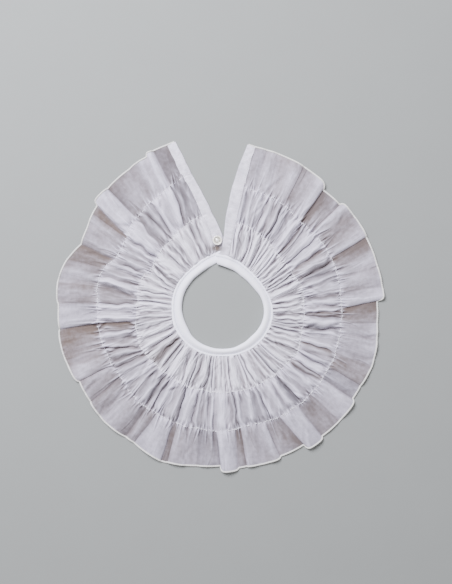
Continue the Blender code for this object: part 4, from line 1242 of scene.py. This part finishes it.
def row_stitches(name, rows, material, draw):
    """Thread of the shirring rows: where it comes up through the cloth, and the cord between."""
    groups = []
    for column, heights in rows:
        radius = row(column, ROW_BEARINGS)
        level = CLOTH_BASE + heights + lap_lift(ROW_BEARINGS, radius) + ROW_STITCH_RISE
        line = positions(ROW_BEARINGS, radius, level) / MM
        inside = (ROW_BEARINGS > ROW_STITCHED[0]) & (ROW_BEARINGS < ROW_STITCHED[1])
        line, _ = resampled(line[inside], ROW_STITCH_PITCH)
        line = line[draw.uniform(size=len(line)) < ROW_STITCHES_SHOWN]
        jitter = draw.uniform(-0.5, 0.5, (len(line), 2))
        direction = unit(np.gradient(line, axis=0))
        side = np.cross(direction, (0.0, 0.0, 1.0))
        groups.append((line + side * jitter[:, :1] * 1.2,
                       unit(direction + side * jitter[:, 1:] * 1.2),
                       draw.uniform(*ROW_STITCH_LENGTHS, len(line)),
                       np.full(len(line), ROW_STITCH_RADIUS)))
    return stitching(name, groups, material)


def seam_stitches(name, lines, material, draw):
    """Thread of the machine stitching along the seams, and of the button's sewing."""
    groups = []
    for line in lines:
        line, _ = resampled(line, SEAM_STITCH_PITCH)
        direction = unit(np.gradient(line, axis=0))
        line[:, 2] += SEAM_STITCH_RISE
        groups.append((line, direction, draw.uniform(*SEAM_STITCH_LENGTHS, len(line)),
                       np.full(len(line), SEAM_STITCH_RADIUS)))
    across = np.array((-HOLE_DIRECTION[1], HOLE_DIRECTION[0]))
    sewn = np.array([(*(BUTTON_CENTRE + side * across), BUTTON_BASE + BUTTON_THREAD_RISE)
                     for side in (-BUTTON_THREAD, BUTTON_THREAD)])
    groups.append((sewn, np.array([(*HOLE_DIRECTION, 0.0)] * 2), np.full(2, HOLE_SPACING + 0.5),
                   np.full(2, BUTTON_THREAD)))
    return stitching(name, groups, material)


def smooth_profile(profile, rounds):
    """Half section with its corners cut off, round after round."""
    line = np.array(profile, float)
    for _ in range(rounds):
        near = mix(line[:-1], line[1:], 0.25)
        far = mix(line[:-1], line[1:], 0.75)
        cut = np.stack([near, far], axis=1).reshape(-1, 2)
        line = np.vstack([line[:1], cut[1:-1], line[-1:]])
    return line


def pearl_button(name, material):
    """Dished button with a raised rim and two thread holes."""
    profile = smooth_profile(BUTTON_SECTION, 3)
    profile[[0, -1], 0] = BUTTON_POLE
    turn = turns(BUTTON_SIDES)
    points = np.stack([BUTTON_CENTRE[0] + profile[:, :1] * np.cos(turn),
                       BUTTON_CENTRE[1] + profile[:, :1] * np.sin(turn),
                       BUTTON_BASE + profile[:, 1:] + 0.0 * turn], axis=-1)
    away = points[..., :2] - BUTTON_CENTRE
    upper = np.arange(len(profile))[:, None] < len(profile) // 2
    for side in (-1.0, 1.0):
        hole = side * HOLE_SPACING / 2.0 * np.array(HOLE_DIRECTION)
        near = np.linalg.norm(away - hole, axis=-1)
        points[..., 2] -= upper * 0.9 * (1.0 - ease(0.45, 0.85, near))
    piece = new_mesh(name, points * MM, tube_faces(len(profile), BUTTON_SIDES), material)
    out = np.linalg.norm(away, axis=-1)
    # Painted shade in the groove round the dish, and fainter over the whole dish.
    add_attributes(piece, relief=-bell((out - DISH_RADIUS) / 0.9) - 0.35 * (out < DISH_RADIUS))
    return piece


def button_loop(name, material):
    """Round thread of two twisted strands, from the placket round the button's shank and back."""
    around = [(LOOP_RADIUS * math.cos(turn), LOOP_RADIUS * math.sin(turn)) for turn in LOOP_TURN]
    places = [(*(BUTTON_CENTRE + place), LOOP_HEIGHT)
              for place in (*LOOP_ENDS[0], *around, *LOOP_ENDS[1])]
    line, at = resampled(np.array(places), LOOP_STEP)
    strands = 0.82 + 0.18 * np.abs(np.cos(turns(LOOP_SIDES) + math.pi * at[:, None] / LOOP_TWIST))
    girths = LOOP_THREAD * strands
    return tube(name, smoothed(line, (1,) * 7), girths, girths, material)


def turn_outwards(piece):
    """Turn a closed piece's faces outwards."""
    mesh = piece.data
    mesh.calc_loop_triangles()
    points = np.empty(len(mesh.vertices) * 3)
    mesh.vertices.foreach_get("co", points)
    points = points.reshape(-1, 3)
    corners = np.empty(len(mesh.loop_triangles) * 3, np.int32)
    mesh.loop_triangles.foreach_get("vertices", corners)
    a, b, c = (points[corners.reshape(-1, 3)[:, corner]] for corner in range(3))
    if np.sum(a * np.cross(b, c)) < 0.0:
        mesh.flip_normals()


class Surface:
    """Material under construction: its nodes and the links between them."""

    def __init__(self, name):
        self.material = bpy.data.materials.new(name)
        self.material.use_nodes = True
        self.nodes = self.material.node_tree.nodes
        self.links = self.material.node_tree.links
        self.shader = self.nodes["Principled BSDF"]
        self.output = self.nodes["Material Output"]

    def put(self, socket, value):
        """Give a socket a value or another node's output."""
        if isinstance(value, bpy.types.NodeSocket):
            self.links.new(value, socket)
        else:
            socket.default_value = value

    def fill(self, node, inputs):
        """Give a node its inputs, which are named with _ for a space."""
        for name, value in inputs.items():
            self.put(node.inputs[name.replace("_", " ")], value)

    def add(self, kind, settings=(), **inputs):
        """New node with its settings and its inputs."""
        node = self.nodes.new(kind)
        for setting, value in dict(settings).items():
            setattr(node, setting, value)
        self.fill(node, inputs)
        return node

    def finish(self, **inputs):
        """The material, once its shader has its inputs."""
        self.fill(self.shader, inputs)
        return self.material

    def attribute(self, name):
        """Number stored on a piece's points."""
        return self.add("ShaderNodeAttribute", {"attribute_name": name}).outputs["Fac"]

    def cloth(self):
        """Place on the cloth in millimetres, along the strip and across it."""
        return self.add("ShaderNodeUVMap", {"uv_map": "cloth"}).outputs["UV"]

    def place(self):
        """Place in metres."""
        return self.add("ShaderNodeTexCoord").outputs["Object"]

    def scaled(self, value, low, high, to_low=0.0, to_high=1.0):
        """Value moved from one range to another and held within it."""
        node = self.add("ShaderNodeMapRange")
        for socket, number in zip(node.inputs, (value, low, high, to_low, to_high)):
            self.put(socket, number)
        return node.outputs["Result"]

    def blend(self, share, first, second, kind="MIX"):
        """Colour between two colours."""
        node = self.add("ShaderNodeMix", {"data_type": "RGBA", "blend_type": kind})
        self.put(node.inputs[0], share)
        for socket, value in zip((node.inputs[6], node.inputs[7]), (first, second)):
            self.put(socket, (*value, 1.0) if isinstance(value, tuple) else value)
        return node.outputs[2]

    def worked(self, kind, operation, first, second):
        """Result of an operation on two values."""
        node = self.add(kind, {"operation": operation})
        self.put(node.inputs[0], first)
        self.put(node.inputs[1], second)
        return node.outputs[0]

    def maths(self, operation, first, second):
        """Result of an operation on two numbers."""
        return self.worked("ShaderNodeMath", operation, first, second)

    def times(self, first, second):
        """Product of two numbers."""
        return self.maths("MULTIPLY", first, second)

    def plus(self, total, *values):
        """Sum of numbers."""
        for value in values:
            total = self.maths("ADD", total, value)
        return total

    def moved(self, vector, shift):
        """Coordinates moved by a vector."""
        return self.worked("ShaderNodeVectorMath", "ADD", vector, shift)

    def noise(self, vector, scale, detail=2.0, roughness=0.5):
        """Smooth noise, 0 to 1."""
        return self.add("ShaderNodeTexNoise", Vector=vector, Scale=scale, Detail=detail,
                        Roughness=roughness).outputs["Fac"]

    def patches(self, cloth, along, across, detail):
        """Smooth noise, 0 to 1, with a number of patches to the millimetre along and across."""
        vector = self.add("ShaderNodeMapping", Vector=cloth, Scale=(along, across, 1.0))
        return self.noise(vector.outputs["Vector"], 1.0, detail)


def weave(surface, cloth, pitch):
    """Normal of a plain weave with slightly uneven threads."""
    nudge = surface.times(surface.patches(cloth, 0.6, 0.25, 3.0), 0.35 * pitch)
    place = surface.moved(cloth, surface.add("ShaderNodeCombineXYZ", X=nudge, Y=nudge).outputs[0])
    threads = [surface.add("ShaderNodeTexWave", {"bands_direction": axis, "wave_profile": "SIN"},
                           Vector=place, Scale=WAVE_PERIOD / pitch, Distortion=0.0).outputs["Fac"]
               for axis in "XY"]
    uneven = surface.plus(surface.patches(cloth, 2.2, 0.12, 2.0),
                          surface.patches(cloth, 0.12, 2.2, 2.0))
    level = surface.plus(surface.maths("MAXIMUM", *threads), uneven)
    return surface.add("ShaderNodeBump", Strength=0.6, Distance=WEAVE_RELIEF,
                       Height=level).outputs["Normal"]


def voile(name, light, crease_shade_colour, seed, hollow_share=0.24, grain=0.06):
    """Semi-sheer plain-woven cotton, with slubs in its threads. Its colour holds painted light and
    shade:
    brighter where it stands up and on crisp ridges, darker in creases and hollows, and greyer and
    warmer where its tone is low, partly the layers beneath showing through, partly painted shade."""
    surface = Surface(name)
    cloth = surface.cloth()
    place = surface.moved(cloth, (seed, 0.0, seed * 0.37))
    relief = surface.attribute("relief")
    # Painted light and shade: the tones, painted shade in hollows, random patches and grain, whiter
    # gathers, and a painted highlight along crisp ridges.
    lit = surface.plus(
        surface.times(surface.attribute("tone"), 0.78),
        surface.times(surface.scaled(surface.attribute("hollow"), -2.4, 1.2), hollow_share),
        surface.scaled(surface.patches(place, 0.05, 0.02, 3.0), 0.25, 0.75, -0.12, 0.12),
        surface.scaled(surface.patches(place, 0.22, 0.2, 3.0), 0.25, 0.75, -grain, grain),
        surface.times(surface.attribute("gathered"), 0.18),
        surface.times(surface.scaled(relief, 0.15, 0.8), 0.18))
    share = surface.maths("POWER", surface.scaled(lit, 0.12, 1.0), TONE_CURVE)
    warmth = surface.scaled(surface.attribute("warmth"), 0.0, 1.0)
    dark = surface.blend(warmth, GREY_SHADE, WARM_SHADE)
    # Painted shade in the creases.
    crease = surface.blend(surface.scaled(relief, -1.3, 0.35), crease_shade_colour, (1.0, 1.0, 1.0))
    slubs = surface.plus(surface.patches(place, 1.6, 0.05, 2.0),
                         surface.patches(place, 0.05, 1.4, 2.0))
    level = surface.scaled(slubs, 0.6, 1.4, 0.99 - grain, 0.99 + grain)
    threads = surface.add("ShaderNodeCombineXYZ", X=level, Y=level, Z=level).outputs[0]
    colour = surface.blend(share, dark, light)
    for tint in (crease, threads):
        colour = surface.blend(1.0, colour, tint, "MULTIPLY")
    normal = weave(surface, cloth, 0.42)
    through = surface.add("ShaderNodeBsdfTranslucent", Color=colour, Normal=normal)
    both = surface.add("ShaderNodeMixShader", Fac=0.3)
    surface.put(both.inputs[1], surface.shader.outputs[0])
    surface.put(both.inputs[2], through.outputs[0])
    surface.put(surface.output.inputs["Surface"], both.outputs[0])
    return surface.finish(Base_Color=colour, Normal=normal, Roughness=0.88, Specular_IOR_Level=0.25,
                          Sheen_Weight=0.12, Sheen_Roughness=0.5)


def binding_cloth():
    """Bias-cut cotton of the binding, its threads aslant, with painted shade in its stitched groove.
    """
    surface = Surface("binding_cotton")
    cloth = surface.cloth()
    slanted = surface.add("ShaderNodeMapping", Vector=cloth,
                          Rotation=(0.0, 0.0, math.radians(45.0)))
    patches = surface.scaled(surface.patches(cloth, 0.08, 0.3, 3.0), 0.3, 0.7)
    colour = surface.blend(patches, (0.86, 0.87, 1.0), (0.93, 0.935, 1.0))
    # Painted shade in the groove.
    groove = surface.scaled(surface.attribute("relief"), -1.3, 0.0)
    return surface.finish(Base_Color=surface.blend(groove, (0.60, 0.60, 0.73), colour),
                          Normal=weave(surface, slanted.outputs[0], 0.45), Roughness=0.8,
                          Specular_IOR_Level=0.3, Sheen_Weight=0.1)


def thread(name, colour):
    """Cotton thread laid in close turns."""
    surface = Surface(name)
    place = surface.place()
    uneven = surface.scaled(surface.noise(place, 900.0, 3.0), 0.3, 0.7)
    dark = tuple(channel * 0.86 for channel in colour)
    fibres = surface.add("ShaderNodeBump", Strength=0.5, Distance=0.00008,
                         Height=surface.noise(place, 2600.0))
    return surface.finish(Base_Color=surface.blend(uneven, dark, colour), Normal=fibres.outputs[0],
                          Roughness=0.72, Sheen_Weight=0.1)


def pearl():
    """Creamy nacre with soft swirls under a smooth coat, with painted shade in the groove round its
    dish and over the dish.
    """
    surface = Surface("pearl_nacre")
    swirl = surface.scaled(surface.noise(surface.place(), 260.0, 4.0, 0.6), 0.3, 0.7)
    colour = surface.blend(swirl, (0.74, 0.72, 0.61), (0.92, 0.90, 0.82))
    # Painted shade in the dish and its groove.
    groove = surface.scaled(surface.attribute("relief"), -1.0, 0.0)
    return surface.finish(Base_Color=surface.blend(groove, (0.30, 0.285, 0.235), colour),
                          Roughness=0.2, Coat_Weight=1.0, Coat_Roughness=0.06, Sheen_Weight=0.2)


def table_top():
    """Plain matt surface with a faint mottle."""
    surface = Surface("floor_matt")
    mottle = surface.noise(surface.place(), 14.0, 5.0, 0.6)
    light = tuple(channel * 1.06 for channel in FLOOR_COLOUR)
    return surface.finish(Base_Color=surface.blend(mottle, FLOOR_COLOUR, light), Roughness=0.95,
                          Specular_IOR_Level=0.1)


def aimed(name, data, place, target):
    """Light or camera at a place, turned to a target."""
    piece = placed(name, data)
    piece.location = place
    towards = target - np.array(place)
    flat = math.hypot(towards[0], towards[1])
    heading = math.atan2(-towards[0], towards[1]) if flat > 1e-6 else 0.0
    piece.rotation_euler = (math.atan2(flat, -towards[2]), 0.0, heading)
    return piece


draw = np.random.default_rng(SEED)

inner_tones = [INNER_SHADED.get(index, (INNER_TONE + draw.uniform(-1.0, 1.5),) * 2 + (1.0,))
               for index in range(len(INNER_CREASES))]
inner_tier = gathered_tier("cloth_inner_tier", INNER_CREASES, inner_tones, BINDING_OUTER, ROW_1,
                           INNER_KEEPS, NECK_INSET, 0.8, draw)
middle_tier = gathered_tier("cloth_middle_tier", MIDDLE_CREASES, MIDDLE_TONES, ROW_1, ROW_2,
                            MIDDLE_KEEPS, 0.0, 0.0, draw)
free_tier = outer_tier("cloth_outer_tier", draw)
tiers = {"inner": inner_tier, "middle": middle_tier, "free": free_tier}
for name, size in ROUGHNESS:
    roughen(tiers[name], draw, size)
    tiers[name].mottle(draw)
for name, *settings in CREASES:
    crease(tiers[name], draw, *settings)
for name, *settings in WEDGES:
    wedges(tiers[name], draw, *settings)
row_1 = share_row(inner_tier, middle_tier, PUCKER_RADII[1], draw)
row_2 = share_row(middle_tier, free_tier, PUCKER_RADII[2], draw)
for kind in NECK_PUCKERS:
    inner_tier.pucker(Puckers(draw, PUCKER_RADII[0], *kind), 0, 1)
inner_tier.sew_under(BORDER_SHARE * binding_height(inner_tier.bearing[:, 0]))

inner_cloth, middle_cloth, outer_cloth = (
    tier_piece(tier, voile(name, LIGHT_COLOURS[index], CREASE_SHADE_COLOURS[index], *settings))
    for index, (tier, name, *settings) in enumerate((
        (inner_tier, "voile_inner", 0.0),
        (middle_tier, "voile_middle", 61.0),
        (free_tier, "voile_outer", 173.0, 0.15, 0.095))))
stitch_material = thread("stitch_thread_cotton", (0.86, 0.86, 0.88))
placket_material = voile("voile_placket", LIGHT_COLOURS[0], CREASE_SHADE_COLOURS[1], 290.0)
hem = rolled_hem("hem_roll", free_tier, thread("hem_thread_cotton", (0.64, 0.635, 0.595)), draw)
(right_placket, right_seam), (left_placket, left_seam) = (
    placket_piece(name, table, corner, turn, placket_material, draw)
    for name, table, corner, turn in zip(PLACKET_CREASES, (PLACKET_RIGHT, PLACKET_LEFT),
                                         HEM_CORNERS, HEM_TURNS))
binding, neck_seam = neck_binding("binding_strip", binding_cloth(), draw)
stitches = row_stitches("row_stitches", ((ROW_1, row_1), (ROW_2, row_2)), stitch_material, draw)
seams = seam_stitches("seam_stitches", (neck_seam, right_seam, left_seam), stitch_material, draw)
button = pearl_button("pearl_button", pearl())
loop = button_loop("thread_loop", stitch_material)
for piece in (hem, right_placket, left_placket, binding, stitches, seams, button, loop):
    turn_outwards(piece)

DRESSING = (
    (inner_cloth, "ruffle_inner_tier", "voile"),
    (middle_cloth, "ruffle_middle_tier", "voile"),
    (outer_cloth, "ruffle_outer_tier", "voile"),
    (hem, "rolled_hem", "hem_thread"),
    (right_placket, "placket_right", "voile"),
    (left_placket, "placket_left", "voile"),
    (binding, "neck_binding", "binding"),
    (button, "button", "pearl"),
    (loop, "button_loop", "loop_thread"),
    (stitches, None, "loop_thread"),
    (seams, None, "loop_thread"),
)
for piece, node, finish in DRESSING:
    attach(piece, "root")
    if node:
        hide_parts(node)

mesh = bpy.data.meshes.new("floor")
mesh.from_pydata([(-3, -3, 0), (3, -3, 0), (3, 3, 0), (-3, 3, 0)], [], [(0, 1, 2, 3)])
mesh.materials.append(table_top())
floor = placed("floor", mesh)

camera = aimed("camera", bpy.data.cameras.new("camera"), CAMERA_TARGET + (0.0, 0.0, CAMERA_HEIGHT),
               CAMERA_TARGET)
camera.data.lens = 50.0
camera.data.sensor_width = 36.0
camera.data.clip_start = 0.01
bpy.context.scene.camera = camera

key = aimed("window", bpy.data.lights.new("window", "AREA"), KEY_PLACE, np.zeros(3))
key.data.shape = "DISK"
key.data.size = 1.0
key.data.energy = KEY_POWER
key.data.color = KEY_COLOUR
world = bpy.data.worlds.new("world")
bpy.context.scene.world = world
world.use_nodes = True
background = world.node_tree.nodes["Background"]
background.inputs["Color"].default_value = FILL_COLOUR
background.inputs["Strength"].default_value = FILL_STRENGTH
